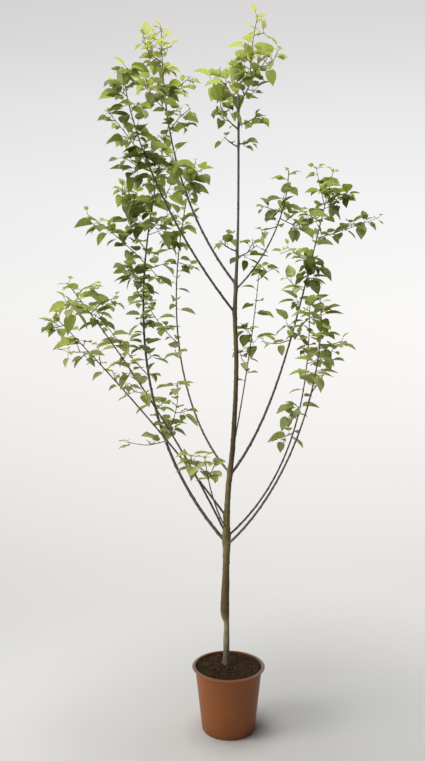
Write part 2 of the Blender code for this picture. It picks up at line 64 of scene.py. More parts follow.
POT_HEIGHT = 0.211
POT_RIM_RADIUS = 0.1235
POT_NECK_RADIUS = 0.1135
POT_RIM_DEPTH = 0.004
POT_FOOT_RADIUS = 0.0895
POT_WALL = 0.0014
NOTCH_COUNT = 8
NOTCH_WIDTH = 0.013
NOTCH_HEIGHT = 0.007
SOIL_EDGE_HEIGHT = 0.2040
SOIL_TOP_HEIGHT = 0.2070
SOIL_TOP_RADIUS = 0.048
SOIL_RADIUS = 0.1114

TRUNK_DEPTH = 0.022
TRUNK_COURSE = (
    (SOIL_TOP_HEIGHT + GAP, -0.0063, 0.0300),
    (0.2250, -0.0066, 0.0240),
    (0.2900, -0.0066, 0.0214),
    (0.3550, -0.0068, 0.0212),
    (0.3720, -0.0094, 0.0262),
    (0.4400, -0.0104, 0.0275),
    (0.4850, -0.0090, 0.0262),
    (0.5050, -0.0084, 0.0242),
    (0.6100, -0.0060, 0.0240),
    (0.7200, -0.0045, 0.0205),
    (0.8200, 0.0010, 0.0190),
    (0.9300, 0.0135, 0.0174),
    (1.0300, 0.0202, 0.0162),
    (1.2400, 0.0277, 0.0152),
    (1.4300, 0.0230, 0.0145),
    (1.5100, 0.0260, 0.0125),
    (1.6500, 0.0318, 0.0090),
    (1.9900, 0.0352, 0.0076),
    (2.1660, 0.0355, 0.0068),
)

LIMB_STEP = 0.045
LIMB_TAPER = 0.8
LIMB_TIP_RADIUS = 0.0012
COLLAR_SWELL = 0.35
COLLAR_LENGTH = 0.030
SHOOT_RADIUS = 0.0016
SHOOT_TIP_RADIUS = 0.0010
SHOOT_STEP = 0.060
BUD_SPACING = 0.022
BUD_TURN = 137.5
OLD_WOOD = 0.30
SHOOT_OLD_WOOD = 0.15
OLD_WOOD_LEAFING = 0.33
YOUNG_WOOD_LEAFING = 0.92
SPUR_CHANCE = 0.40
SPUR_LENGTH = (0.015, 0.050)
SPUR_LEAVES = (2, 5)
LEAF_LENGTH = 0.065
LEAF_LENGTH_SPREAD = 0.28
LEAF_WIDTH_SHARE = 0.58
LEAF_WIDEST = 0.56
LEAF_SPLAY = (50, 85)
LEAF_DROOP = (-0.10, 0.65)
LEAF_ROLL = 36
TIP_LEAVES = 3
SPACE_MARGIN = 0.004
LIMB_CLEARANCE = 0.004

# ---- Finer shapes and growth, which the solids leave out ----

# Each size of lump in the soil: its height, and how many there are to a metre.
SOIL_LUMPS = ((0.0030, 38), (0.0022, 95), (0.0008, 260))
FINE_TWIG_CHANCE = 0.45
FINE_TWIG_LENGTH = (0.008, 0.018)
FINE_LEAF_SCALE = (0.45, 0.75)
AXIL_LEAF_CHANCE = 0.35
TOP_BRANCHING = 1.9
TOP_HEIGHT = 2.02
STALK_SHARE = 0.24
STALK_RADIUS = 0.00065
TRUNK_SCARS = {"length": 1.95, "start": 0.33, "seed": 5}
BOUGH_SCARS_START = 0.045
BLADE_FORMS = 9
BLADE_ROWS = (0.0, 0.07, 0.20, 0.38, 0.58, 0.76, 0.90, 1.0)
# Half the width of an apricot leaf by share of its length: rounded at the stalk, drawn out at the tip.
BLADE_OUTLINE = (
    (0.0, 0.04, 0.12, 0.24, 0.40, 0.55, 0.68, 0.79, 0.88, 0.95, 1.0),
    (0.0, 0.18, 0.290, 0.350, 0.355, 0.315, 0.235, 0.145, 0.07, 0.027, 0.0),
)

# Each limb's own seed plus one of these seeds what grows on it here alone.
SCAR_STREAM, BUD_STREAM, BLADE_STREAM, FINE_STREAM = 1, 3, 9, 7000
CRUMB_SEED, BLADE_FORM_SEED = 41, 12

# ---- How leaves age ----

# Leaves are new within this length of a growing tip, and between these heights at the crown's top.
NEW_GROWTH = 0.10
CROWN_TOP = (2.20, 2.46)
NEW_LEAF_SHRINKING = 0.58
SPUR_BLADE_SIZE = (0.86, 1.16)
# A leaf's tint starts from its twig's paleness, which differs a little from spray to spray. Spurs start
# deeper, partly as older leaves and partly as painted shade in the dense clusters on old wood. It pales with
# newness, and by so much a metre below the crown's foot, as painted light thrown back from the floor, and
# above the start of its top, partly as new growth and partly as painted light from above.
PALENESS = {"stem": 0.36, "shoot": 0.36, "spur": 0.18, "twiglet": 0.45}
SPRAY_MOOD = 0.33
NEW_PALING = 0.45
FLOOR_LIGHT_PALING, FOOT_HEIGHT = 0.80, 1.60
TOP_GROWTH_AND_LIGHT_PALING = {"stem": (3.6, 2.12), "shoot": (3.6, 2.12), "spur": (3.0, 2.16), "twiglet": (3.6, 2.12)}
TINT_STEPS = (1.10, 0.55, 0.18)

Limb = namedtuple("Limb", "foot heading foot_lean tip_lean ease length bare radius leaf seed shoots")
Shoot = namedtuple("Shoot", "at heading foot_lean tip_lean length")

LIMBS = {
    "low_left": Limb(
        0.622, 165, 45, -14, 1.72, 1.595, 0.400, 0.0056, 0.92, 116,
        (
            Shoot(0.412, 185, 110, 72, 0.136), Shoot(0.424, -30, 37, -7, 0.212),
            Shoot(0.651, 190, 44, 33, 0.303), Shoot(0.913, 205, 35, -3, 0.122),
            Shoot(1.031, 20, 70, 70, 0.089), Shoot(1.055, 172, 44, 55, 0.282),
            Shoot(1.101, 200, 45, -5, 0.259), Shoot(1.165, -25, 39, 79, 0.119),
            Shoot(1.259, 175, 72, 44, 0.122),
        ),
    ),
    "low_right_front": Limb(
        0.613, -55, 54, -12, 0.59, 0.960, 0.600, 0.0042, 1.00, 18,
        (
            Shoot(0.685, -10, 39, 12, 0.144), Shoot(0.831, 0, 96, 69, 0.066),
        ),
    ),
    "low_right_back": Limb(
        0.642, 25, 57, 1, 1.64, 0.945, 0.435, 0.0037, 0.90, 2,
        (
            Shoot(0.449, 215, 111, 97, 0.072), Shoot(0.773, 170, 31, 51, 0.055),
        ),
    ),
    "front_left": Limb(
        0.647, 205, 27, 39, 1.11, 1.002, 0.500, 0.0038, 1.05, 72,
        (
            Shoot(0.554, 240, 62, 87, 0.085), Shoot(0.884, 30, 36, 77, 0.102),
            Shoot(0.931, 250, 100, 95, 0.090), Shoot(0.951, 5, 23, 81, 0.059),
        ),
    ),
    "inner_left": Limb(
        0.670, 246, 52, 17, 1.04, 0.331, 0.225, 0.0028, 0.95, 55,
        (
            Shoot(0.252, -60, 46, 31, 0.081), Shoot(0.267, 190, 45, 60, 0.075),
        ),
    ),
    "far_left": Limb(
        0.709, 192, 36, 44, 1.15, 0.897, 0.500, 0.0036, 1.10, 110,
        (
            Shoot(0.568, 150, 56, 14, 0.078), Shoot(0.676, 140, 18, 9, 0.064),
            Shoot(0.735, 235, 93, 92, 0.093),
        ),
    ),
    "back_right": Limb(
        0.853, 42, 51, 20, 4.00, 1.325, 0.565, 0.0048, 0.95, 6,
        (
            Shoot(0.581, 200, 115, 72, 0.122), Shoot(0.790, 215, 81, 45, 0.104),
            Shoot(0.912, 160, 63, 47, 0.114), Shoot(1.016, 15, 72, 68, 0.288),
            Shoot(1.088, 215, 74, 73, 0.109), Shoot(1.160, 120, 20, 15, 0.180),
            Shoot(1.174, -15, 74, 76, 0.095),
        ),
    ),
    "back_left": Limb(
        0.862, 122, 64, -30, 1.25, 1.314, 0.500, 0.0040, 0.95, 51,
        (
            Shoot(0.604, 165, 50, 12, 0.355), Shoot(0.929, 20, 105, 94, 0.060),
            Shoot(1.002, 215, 87, 75, 0.079),
        ),
    ),
    "back": Limb(
        0.932, 68, 31, 16, 0.87, 0.752, 0.260, 0.0026, 0.95, 34,
        (
            Shoot(0.342, 200, 54, -3, 0.068), Shoot(0.702, 20, 46, 57, 0.083),
        ),
    ),
    "high_left_front": Limb(
        1.414, 214, 46, 4, 0.58, 0.849, 0.380, 0.0042, 1.18, 104,
        (
            Shoot(0.521, -20, 66, 38, 0.088), Shoot(0.541, 230, 91, 74, 0.123),
            Shoot(0.554, 200, 36, 44, 0.206),
        ),
    ),
    "high_right": Limb(
        1.494, -30, 51, 0, 0.85, 0.440, 0.240, 0.0030, 1.00, 123,
        (
            Shoot(0.255, 200, 114, 99, 0.058), Shoot(0.283, 20, 115, 99, 0.069),
            Shoot(0.302, 190, 73, 75, 0.067),
        ),
    ),
    "high_left": Limb(
        1.512, 172, 38, 1, 1.43, 0.959, 0.240, 0.0044, 1.18, 107,
        (
            Shoot(0.350, 120, 56, 58, 0.110), Shoot(0.596, -40, 47, 77, 0.111),
            Shoot(0.667, 215, 65, 43, 0.106), Shoot(0.703, 20, 41, 45, 0.136),
            Shoot(0.837, 200, 81, -2, 0.112),
        ),
    ),
    "leader_lower_spur": Limb(
        1.625, 205, 80, 50, 1.00, 0.075, 0.0, 0.0022, 1.15, 73,
        (Shoot(0.030, 150, 70, 40, 0.040),),
    ),
    "leader_right_spur": Limb(
        1.605, -20, 75, 50, 1.00, 0.080, 0.0, 0.0022, 1.15, 18,
        (Shoot(0.040, -60, 60, 40, 0.035),),
    ),
    "leader_middle_spur": Limb(1.985, 200, 75, 50, 1.00, 0.060, 0.0, 0.0020, 1.05, 63, ()),
    "leader_back_spur": Limb(1.995, 30, 75, 60, 1.00, 0.060, 0.0, 0.0020, 1.05, 83, ()),
    "leader_upper_spur": Limb(
        2.060, 10, 70, 50, 1.00, 0.090, 0.0, 0.0020, 1.05, 39,
        (Shoot(0.045, -40, 80, 60, 0.035),),
    ),
    "leader_left_spur": Limb(
        2.045, 205, 65, 30, 1.00, 0.095, 0.0, 0.0022, 1.10, 45,
        (Shoot(0.040, 160, 70, 40, 0.045), Shoot(0.060, 250, 80, 60, 0.045)),
    ),
    "top_left": Limb(2.101, 150, 14, 48, 1.09, 0.192, 0.0, 0.0024, 1.20, 123, ()),
    "top_right": Limb(
        2.132, -60, 67, 8, 0.42, 0.164, 0.0, 0.0030, 1.12, 12,
        (
            Shoot(0.039, 200, 17, 20, 0.090), Shoot(0.086, 150, 1, -15, 0.222),
            Shoot(0.139, 20, 89, 7, 0.114),
        ),
    ),
}

Leaf = namedtuple("Leaf", "root direction facing length width")

# A spray is one twig with the leaves that grow straight from it and the buds that stay shut.
Spray = namedtuple("Spray", "kind points radii leaves buds")
Bud = namedtuple("Bud", "distance outward")


def linear(code):
    """An sRGB hex colour as linear light."""
    parts = [int(code[i : i + 2], 16) / 255 for i in (0, 2, 4)]
    return tuple(c / 12.92 if c <= 0.04045 else ((c + 0.055) / 1.055) ** 2.4 for c in parts)


def clipped(value):
    return min(1.0, max(0.0, value))


def scaled(colour, by):
    return tuple(min(1.0, channel * by) for channel in colour)


def blended(first, second, share):
    return tuple(a + (b - a) * share for a, b in zip(first, second))


# ---- Settings that a user would change ----


def colour_setting(name, description, code):
    return bpy.props.FloatVectorProperty(
        name=name, description=description, subtype="COLOR", size=3, min=0, max=1, default=linear(code)
    )


def number_setting(name, description, default, low, high, **units):
    kind = bpy.props.IntProperty if isinstance(default, int) else bpy.props.FloatProperty
    return kind(name=name, description=description, default=default, min=low, max=high, **units)


LENGTH = {"subtype": "DISTANCE", "unit": "LENGTH"}
SHARE = {"subtype": "FACTOR"}
POWER = {"subtype": "POWER", "unit": "POWER"}


class ApricotPotSettings(bpy.types.PropertyGroup):
    """The nursery pot and the peat in it."""

    plastic: colour_setting("Plastic", "Colour of the moulded plastic", "8e4e1a")
    turning_steps: number_setting("Turning steps", "Sides of the turned pot", 112, 24, 256)
    peat: colour_setting("Peat", "Colour of the moist peat", "342514")
    crumbs: number_setting("Crumbs", "Loose crumbs on the soil", 1500, 0, 4000)
    crumb_size: number_setting("Crumb size", "Width of a usual crumb", 0.0024, 0.0005, 0.01, **LENGTH)


class ApricotWoodSettings(bpy.types.PropertyGroup):
    """Trunk, boughs and twigs."""

    rootstock_bark: colour_setting("Rootstock", "Colour of the bark below the graft", "978b72")
    trunk_bark: colour_setting("Trunk bark", "Colour of the bark above the graft", "6a593c")
    olive_bark: colour_setting("Olive bark", "Colour of the trunk's smoother bark between boughs", "7c7047")
    leader_bark: colour_setting("Leader bark", "Colour of the trunk's upper half", "68655b")
    bough_bark: colour_setting("Bough bark", "Colour of the boughs' bark", "615b50")
    young_bark: colour_setting("Young bark", "Colour of this year's shoots", "76633f")
    knob_height: number_setting(
        "Knob height", "How far the leaf scars stand out, in the limb's radius", 0.34, 0, 1, **SHARE
    )
    ring_step: number_setting(
        "Ring step", "Distance between the bark mesh's rings", 0.0042, 0.001, 0.02, **LENGTH
    )


class ApricotLeafSettings(bpy.types.PropertyGroup):
    """Leaves, from the palest at the tips to the darkest on old wood."""

    tip_green: colour_setting("Tip leaves", "Colour of the newest leaves", "d6d5aa")
    fresh_green: colour_setting("Fresh leaves", "Colour of the young leaves", "d0d596")
    full_green: colour_setting("Full leaves", "Colour of the grown leaves", "b9be89")
    deep_green: colour_setting("Deep leaves", "Colour of the oldest leaves", "7b833f")
    stalk: colour_setting("Leaf stalks", "Colour of the leaf stalks", "8e6c48")
    blade_size: number_setting("Blade size", "Size of a usual blade beside the rule's leaf", 1.05, 0.5, 1.5)
    level: number_setting("Level", "How far the stalks turn the blades level", 0.50, 0, 0.62, **SHARE)
    glow: number_setting("Glow", "Share of the light that passes through a blade", 0.58, 0, 1, **SHARE)


class ApricotStageSettings(bpy.types.PropertyGroup):
    """Camera and studio."""

    lens: number_setting("Lens", "Focal length of the camera", 30.92, 10, 200, subtype="DISTANCE_CAMERA")
    camera_place: bpy.props.FloatVectorProperty(
        name="Camera",
        description="Place of the camera",
        default=(-0.0544, -2.23, 1.181),
        subtype="TRANSLATION",
    )
    paper: colour_setting("Paper", "Colour of the studio paper", "c9c8c6")
    key_power: number_setting("Key light", "Power of the light from the left", 56.0, 0, 1000, **POWER)
    top_power: number_setting("Top light", "Power of the light from above", 182.0, 0, 1000, **POWER)


SETTINGS = {
    "apricot_pot": ApricotPotSettings,
    "apricot_wood": ApricotWoodSettings,
    "apricot_leaf": ApricotLeafSettings,
    "apricot_stage": ApricotStageSettings,
}


# ---- Materials ----


def add_node(tree, kind, sockets=None, stops=(), **settings):
    """A node with its settings, its inputs and, on a ramp, its stops of a place and a colour. An input is
    given a value, an output or a node, which stands for its first output."""
    node = tree.nodes.new("ShaderNode" + kind)
    for name, value in settings.items():
        setattr(node, name, value)
    for name, value in (sockets or {}).items():
        socket = node.inputs[name]
        if isinstance(value, bpy.types.Node):
            value = value.outputs[0]
        if isinstance(value, bpy.types.NodeSocket):
            tree.links.new(value, socket)
        else:
            socket.default_value = (*value, 1.0) if socket.type == "RGBA" else value
    for _ in stops[2:]:
        node.color_ramp.elements.new(0.5)
    for index, (place, colour) in enumerate(stops):
        element = node.color_ramp.elements[index]
        element.position = place
        element.color = (*colour, 1.0)
    return node


def start_material(name):
    """A new material and its emptied tree."""
    material = bpy.data.materials.new(name)
    material.use_nodes = True
    tree = material.node_tree
    tree.nodes.clear()
    return material, tree


def surfaced(material, shader):
    """The material with the shader for its surface."""
    add_node(material.node_tree, "OutputMaterial", {"Surface": shader})
    return material


def leaf_material(name, colour, glow, roughness):
    """A living leaf: waxy enough to shine softly, and thin enough that light from behind comes through it
    yellower than its face."""
    material, tree = start_material(name)
    place = add_node(tree, "UVMap", uv_map="blade")
    # Side veins leave the midrib about every 7 mm of a 45 mm blade.
    wave = {"Vector": place, "Scale": 2.2, "Distortion": 0.6, "Detail": 1.0}
    veins = add_node(tree, "TexWave", wave, bands_direction="DIAGONAL").outputs["Fac"]
    bump = add_node(tree, "Bump", {"Strength": 0.25, "Distance": 0.0004, "Height": veins})
    wax = {"Roughness": roughness, "IOR": 1.45, "Specular IOR Level": 0.16}
    face = add_node(tree, "BsdfPrincipled", {"Base Color": colour, "Normal": bump, **wax})
    sunlit = blended(colour, (0.74, 0.80, 0.29), 0.42)
    through = add_node(tree, "BsdfTranslucent", {"Color": sunlit, "Normal": bump})
    return surfaced(material, add_node(tree, "MixShader", {0: glow, 1: face, 2: through}))


def bark_material(name, tones, grain_mm, roughness, young=None):
    """Smooth cherry-like bark: a thin skin with cross-wise pores. Its tones run with the height, in metres,
    and turn to the young one on this year's growth."""
    material, tree = start_material(name)
    place = add_node(tree, "TexCoord").outputs["Object"]
    height = add_node(tree, "SeparateXYZ", {"Vector": place}).outputs["Z"]
    low, high = tones[0][0], tones[-1][0]
    level = add_node(tree, "MapRange", {"Value": height, "From Min": low, "From Max": high})
    stops = [((at - low) / (high - low), tint) for at, tint in tones]
    tone = add_node(tree, "ValToRGB", {"Fac": level}, stops)
    if young:
        youth = add_node(tree, "Attribute", attribute_name="youth").outputs["Fac"]
        tone = add_node(tree, "Mix", {0: youth, 6: tone, 7: young}, data_type="RGBA").outputs[2]
    clouds = {"Vector": place, "Scale": 100 / grain_mm, "Detail": 4.0, "Roughness": 0.6}
    cloud = add_node(tree, "TexNoise", clouds)
    wide = add_node(tree, "Mapping", {"Vector": place, "Scale": (0.35, 0.35, 1.0)})
    dots = {"Vector": wide, "Scale": 900 / grain_mm, "Detail": 3.0, "Roughness": 0.75}
    pores = add_node(tree, "TexNoise", dots)
    shades = {"Value": cloud, "From Min": 0.3, "From Max": 0.7, "To Min": 0.72, "To Max": 1.25}
    shade = add_node(tree, "MapRange", shades)
    flecks = {"Value": pores, "From Min": 0.56, "From Max": 0.70, "To Min": 1.0, "To Max": 1.18}
    fleck = add_node(tree, "MapRange", flecks)
    light = add_node(tree, "Math", {0: shade, 1: fleck}, operation="MULTIPLY")
    toned = add_node(tree, "VectorMath", {0: tone, "Scale": light}, operation="SCALE")
    spread = {"Value": pores, "To Min": roughness - 0.12, "To Max": roughness + 0.12}
    rough = add_node(tree, "MapRange", spread)
    bump = add_node(tree, "Bump", {"Strength": 0.5, "Distance": 0.0004, "Height": pores})
    skin = {"Base Color": toned, "Roughness": rough, "IOR": 1.45, "Specular IOR Level": 0.3, "Normal": bump}
    return surfaced(material, add_node(tree, "BsdfPrincipled", skin))


def plain_material(name, colour, roughness):
    """A small part's own plain finish, with a fine grain in its surface."""
    material, tree = start_material(name)
    place = add_node(tree, "TexCoord").outputs["Object"]
    grain = add_node(tree, "TexNoise", {"Vector": place, "Scale": 900.0, "Detail": 2.0})
    bump = add_node(tree, "Bump", {"Strength": 0.3, "Distance": 0.0002, "Height": grain})
    skin = {"Base Color": colour, "Roughness": roughness, "Specular IOR Level": 0.3, "Normal": bump}
    return surfaced(material, add_node(tree, "BsdfPrincipled", skin))


def pot_material(name, colour, stain, scuffed=None):
    """Thin moulded polypropylene: a satin skin with a faint orange peel, duller where it has been handled and
    stained or dusted with dried peat, and darker toward its foot. A rim can be greyed toward its left and
    right sides: a painted reflection of the bright studio at a grazing angle."""
    material, tree = start_material(name)
    place = add_node(tree, "TexCoord").outputs["Object"]
    peel = add_node(tree, "TexNoise", {"Vector": place, "Scale": 420.0, "Detail": 2.0})
    wear = add_node(tree, "TexNoise", {"Vector": place, "Scale": 16.0, "Detail": 6.0, "Roughness": 0.65})
    stained = blended(scaled(colour, 0.90), stain, 0.4)
    dusty = blended(colour, linear("9c8271"), 0.2)
    dust = add_node(tree, "ValToRGB", {"Fac": wear}, ((0.35, stained), (0.55, colour), (0.80, dusty)))
    axes = add_node(tree, "SeparateXYZ", {"Vector": place}).outputs
    # The colour darkens toward the foot, over its lowest 45 mm.
    foot = {"Value": axes["Z"], "From Min": 0.045, "From Max": 0.0, "To Max": 0.35}
    foot_darkening = add_node(tree, "MapRange", foot)
    foot_darkened = {0: foot_darkening, 6: dust, 7: scaled(colour, 0.55)}
    tone = add_node(tree, "Mix", foot_darkened, data_type="RGBA").outputs[2]
    # The grey toward the left and right sides is a painted reflection of the bright studio at a grazing
    # angle.
    if scuffed:
        across = add_node(tree, "Math", {0: axes["X"]}, operation="ABSOLUTE")
        sides = {"Value": across, "From Min": 0.045, "From Max": 0.105, "To Max": 0.85}
        side_sheen = add_node(tree, "MapRange", sides)
        tone = add_node(tree, "Mix", {0: side_sheen, 6: tone, 7: scuffed}, data_type="RGBA").outputs[2]
    rough = add_node(tree, "MapRange", {"Value": wear, "To Min": 0.36, "To Max": 0.58})
    bump = add_node(tree, "Bump", {"Strength": 0.12, "Distance": 0.0003, "Height": peel})
    skin = {"Base Color": tone, "Roughness": rough, "IOR": 1.49, "Specular IOR Level": 0.4, "Normal": bump}
    return surfaced(material, add_node(tree, "BsdfPrincipled", skin))


def peat_material(colour):
    """Moist peat mix: red-brown on its fibres, with no shine, and near black in its hollows as painted shade.
    """
    material, tree = start_material("moist_peat")
    place = add_node(tree, "TexCoord").outputs["Object"]
    clods = add_node(tree, "TexNoise", {"Vector": place, "Scale": 90.0, "Detail": 6.0, "Roughness": 0.68})
    fibre = blended(scaled(colour, 1.8), linear("5c4129"), 0.4)
    # The darkest stop falls in the bump's hollows: painted shade.
    tones = ((0.34, scaled(colour, 0.25)), (0.53, colour), (0.76, fibre))
    tone = add_node(tree, "ValToRGB", {"Fac": clods}, tones)
    bump = add_node(tree, "Bump", {"Strength": 0.9, "Distance": 0.0015, "Height": clods})
    skin = {"Base Color": tone, "Roughness": 0.95, "Specular IOR Level": 0.15, "Normal": bump}
    return surfaced(material, add_node(tree, "BsdfPrincipled", skin))


def paper_material(colour):
    """Seamless studio paper that fades out far from the pot, so no edge of it shows."""
    material, tree = start_material("studio_paper")
    place = add_node(tree, "TexCoord").outputs["Object"]
    reach = add_node(tree, "VectorMath", {0: place}, operation="LENGTH").outputs["Value"]
    fading = {"Value": reach, "From Min": 0.45, "From Max": 1.7}
    fade = add_node(tree, "MapRange", fading, interpolation_type="SMOOTHSTEP")
    sheet = {"Base Color": colour, "Roughness": 0.9, "Specular IOR Level": 0.1}
    paper = add_node(tree, "BsdfPrincipled", sheet)
    clear = add_node(tree, "BsdfTransparent")
    return surfaced(material, add_node(tree, "MixShader", {0: fade, 1: paper, 2: clear}))


# ---- Pieces ----


def as_mesh(name, form):
    """The bmesh as a mesh."""
    mesh = bpy.data.meshes.new(name)
    form.to_mesh(mesh)
    form.free()
    return mesh


def add_object(name, data):
    """A new object in the scene."""
    made = bpy.data.objects.new(name, data)
    bpy.context.scene.collection.objects.link(made)
    return made


def soften(mesh, sharp):
    """Smooth the mesh but for its edges sharper than an angle in degrees."""
    mesh.shade_smooth()
    mesh.set_sharp_from_angle(angle=math.radians(sharp))


def finish_piece(name, form, materials, sharp=40):
    """The bmesh as an object at the origin, smooth but for its sharp edges, on the part's one body."""
    mesh = as_mesh(name, form)
    for material in materials:
        mesh.materials.append(material)
    soften(mesh, sharp)
    piece = add_object(name, mesh)
    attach(piece, "root")
    return piece


def set_material(form, first, material):
    """Give the bmesh's faces from the first on their material."""
    form.faces.ensure_lookup_table()
    for face in form.faces[first:]:
        face.material_index = material


# ---- Paths, as the solids have them ----


def trunk_at(height):
    """The trunk's centre and radius at a height, smooth through its course."""
    rows = np.array(TRUNK_COURSE)
    height = min(max(height, rows[0, 0]), rows[-1, 0])
    slopes = np.gradient(rows[:, 1:], rows[:, 0], axis=0)
    index = int(min(np.searchsorted(rows[:, 0], height, side="right"), len(rows) - 1)) - 1
    span = rows[index + 1, 0] - rows[index, 0]
    t = (height - rows[index, 0]) / span
    near = (2 * t**3 - 3 * t**2 + 1) * rows[index, 1:]
    far = (3 * t**2 - 2 * t**3) * rows[index + 1, 1:]
    bend = (t**3 - 2 * t**2 + t) * slopes[index] + (t**3 - t**2) * slopes[index + 1]
    place, diameter = near + far + bend * span
    return Vector((place, TRUNK_DEPTH, height)), diameter / 2


def leaning_path(start, heading, foot_lean, tip_lean, ease, length, step):
    """Points along a limb whose lean from the vertical runs from its foot's to its tip's."""
    count = max(2, round(length / step))
    points = [Vector(start)]
    for index in range(count):
        share = (index + 0.5) / count
        lean = math.radians(tip_lean + (foot_lean - tip_lean) * (1 - share) ** ease)
        across = Matrix.Rotation(math.radians(heading), 3, "Z") @ Vector((math.sin(lean), 0, 0))
        points.append(points[-1] + (across + Vector((0, 0, math.cos(lean)))) * (length / count))
    return points


def path_place(points, distance):
    """The point and the direction at a distance along a path."""
    for first, second in zip(points, points[1:]):
        piece = (second - first).length
        if distance <= piece or second is points[-1]:
            return first.lerp(second, distance / piece), (second - first).normalized()
        distance -= piece


def path_part(points, start, end):
    """The stretch of a path between two distances along it."""
    part = [path_place(points, start)[0]]
    passed = 0.0
    for first, second in zip(points, points[1:]):
        passed += (second - first).length
        if start + 0.004 < passed < end - 0.004:
            part.append(second)
    part.append(path_place(points, end)[0])
    return part


def distances_along(points):
    along = [0.0]
    for first, second in zip(points, points[1:]):
        along.append(along[-1] + (second - first).length)
    return along


def limb_path(limb):
    foot, _ = trunk_at(limb.foot)
    lean = (limb.foot_lean, limb.tip_lean, limb.ease)
    return leaning_path(foot, limb.heading, *lean, limb.length, LIMB_STEP)


def shoot_path(limb, shoot):
    start, _ = path_place(limb_path(limb), shoot.at)
    lean = (shoot.foot_lean, shoot.tip_lean, 1.0)
    return leaning_path(start, shoot.heading, *lean, shoot.length, SHOOT_STEP)


def limb_radius(limb, distance):
    """A limb's radius at a distance from the trunk's axis, with the collar at its foot."""
    share = min(distance / limb.length, 1.0)
    taper = LIMB_TIP_RADIUS + (limb.radius - LIMB_TIP_RADIUS) * (1 - share) ** LIMB_TAPER
    collar = 1 + COLLAR_SWELL * max(0.0, 1 - distance / COLLAR_LENGTH) ** 2
    return taper * collar


def samples_along(points, step=0.012):
    """Points at even steps along a path, as rows of an array."""
    length = sum((b - a).length for a, b in zip(points, points[1:]))
    count = max(2, math.ceil(length / step))
    return np.array([path_place(points, length * i / count)[0] for i in range(count + 1)])


def wood_samples():
    """The centres and radii of the trunk and every bough, for keeping leaves clear of them."""
    rows = []
    height = TRUNK_COURSE[0][0]
    while height < TRUNK_COURSE[-1][0]:
        centre, radius = trunk_at(height)
        rows.append((*centre, radius))
        height += 0.008
    for limb in LIMBS.values():
        if limb.bare:
            for point in samples_along(path_part(limb_path(limb), 0.0, limb.bare), 0.008):
                rows.append((*point, limb.radius))
    return np.array(rows)


def space_samples():
    """For each mass, points along its stem and named shoots: the mass keeps nearest to its own."""
    spaces = {}
    for name, limb in LIMBS.items():
        paths = [path_part(limb_path(limb), limb.bare, limb.length)]
        paths += [shoot_path(limb, shoot) for shoot in limb.shoots]
        spaces[name] = np.concatenate([samples_along(path) for path in paths])
    return spaces


class Space:
    """Tells whether points lie in one mass's own space and clear of the wood."""

    def __init__(self, name, spaces, wood):
        self.own = spaces[name]
        self.others = np.concatenate([rows for key, rows in spaces.items() if key != name])
        self.wood = wood

    def holds(self, points):
        at = np.array(points)[:, None, :]
        own = np.linalg.norm(at - self.own, axis=2).min(axis=1)
        others = np.linalg.norm(at - self.others, axis=2).min(axis=1)
        wood = (np.linalg.norm(at - self.wood[:, :3], axis=2) - self.wood[:, 3]).min(axis=1)
        return bool((own + SPACE_MARGIN < others).all() and wood.min() > LIMB_CLEARANCE)


# ---- The growth rule, as the solids have it ----


def outward_from(direction, turn):
    """A direction square to the twig's, turned round it by an angle in degrees."""
    side = direction.cross(UP)
    if side.length < 0.05:
        side = Vector((1, 0, 0))
    side.normalize()
    return Matrix.Rotation(math.radians(turn), 3, direction) @ side


def leaf_points(leaf):
    """The corners and the midline of a leaf, past its root."""
    across = leaf.facing.cross(leaf.direction) * (leaf.width / 2)
    widest = leaf.root + leaf.direction * (leaf.length * LEAF_WIDEST)
    midline = [leaf.root + leaf.direction * (leaf.length * share) for share in (0.4, 0.75, 1.0)]
    return midline + [widest + across, widest - across]


def grow_leaf(root, direction, outward, size, rng):
    """One leaf that splays from its twig and droops."""
    splay = math.radians(rng.uniform(*LEAF_SPLAY))
    droop = rng.uniform(*LEAF_DROOP)
    roll = math.radians(rng.uniform(-LEAF_ROLL, LEAF_ROLL))
    length = size * (1 + rng.uniform(-LEAF_LENGTH_SPREAD, LEAF_LENGTH_SPREAD))
    way = direction * math.cos(splay) + outward * math.sin(splay) - Vector((0, 0, droop))
    way.normalize()
    side = way.cross(UP)
    if side.length < 0.05:
        side = outward.cross(way)
    facing = Matrix.Rotation(roll, 3, way) @ side.normalized().cross(way)
    return Leaf(root, way, facing, length, length * LEAF_WIDTH_SHARE)


def grow_spur(root, direction, outward, size, rng, space):
    """A short side shoot with a few leaves round its end, where its space has room."""
    length = rng.uniform(*SPUR_LENGTH)
    way = (direction * 0.55 + outward).normalized()
    tip = root + way * length
    turn = rng.uniform(0, 360)
    leaves = []
    for index in range(rng.randint(*SPUR_LEAVES)):
        around = outward_from(way, turn + index * BUD_TURN)
        leaf = grow_leaf(tip - way * (0.003 + 0.004 * index), way, around, size, rng)
        if space.holds(leaf_points(leaf)):
            leaves.append(leaf)
    if not leaves or not space.holds([root.lerp(tip, 0.7), tip]):
        return None
    return Spray("spur", [root, tip + way * 0.001], [SHOOT_RADIUS, SHOOT_TIP_RADIUS], leaves, [])


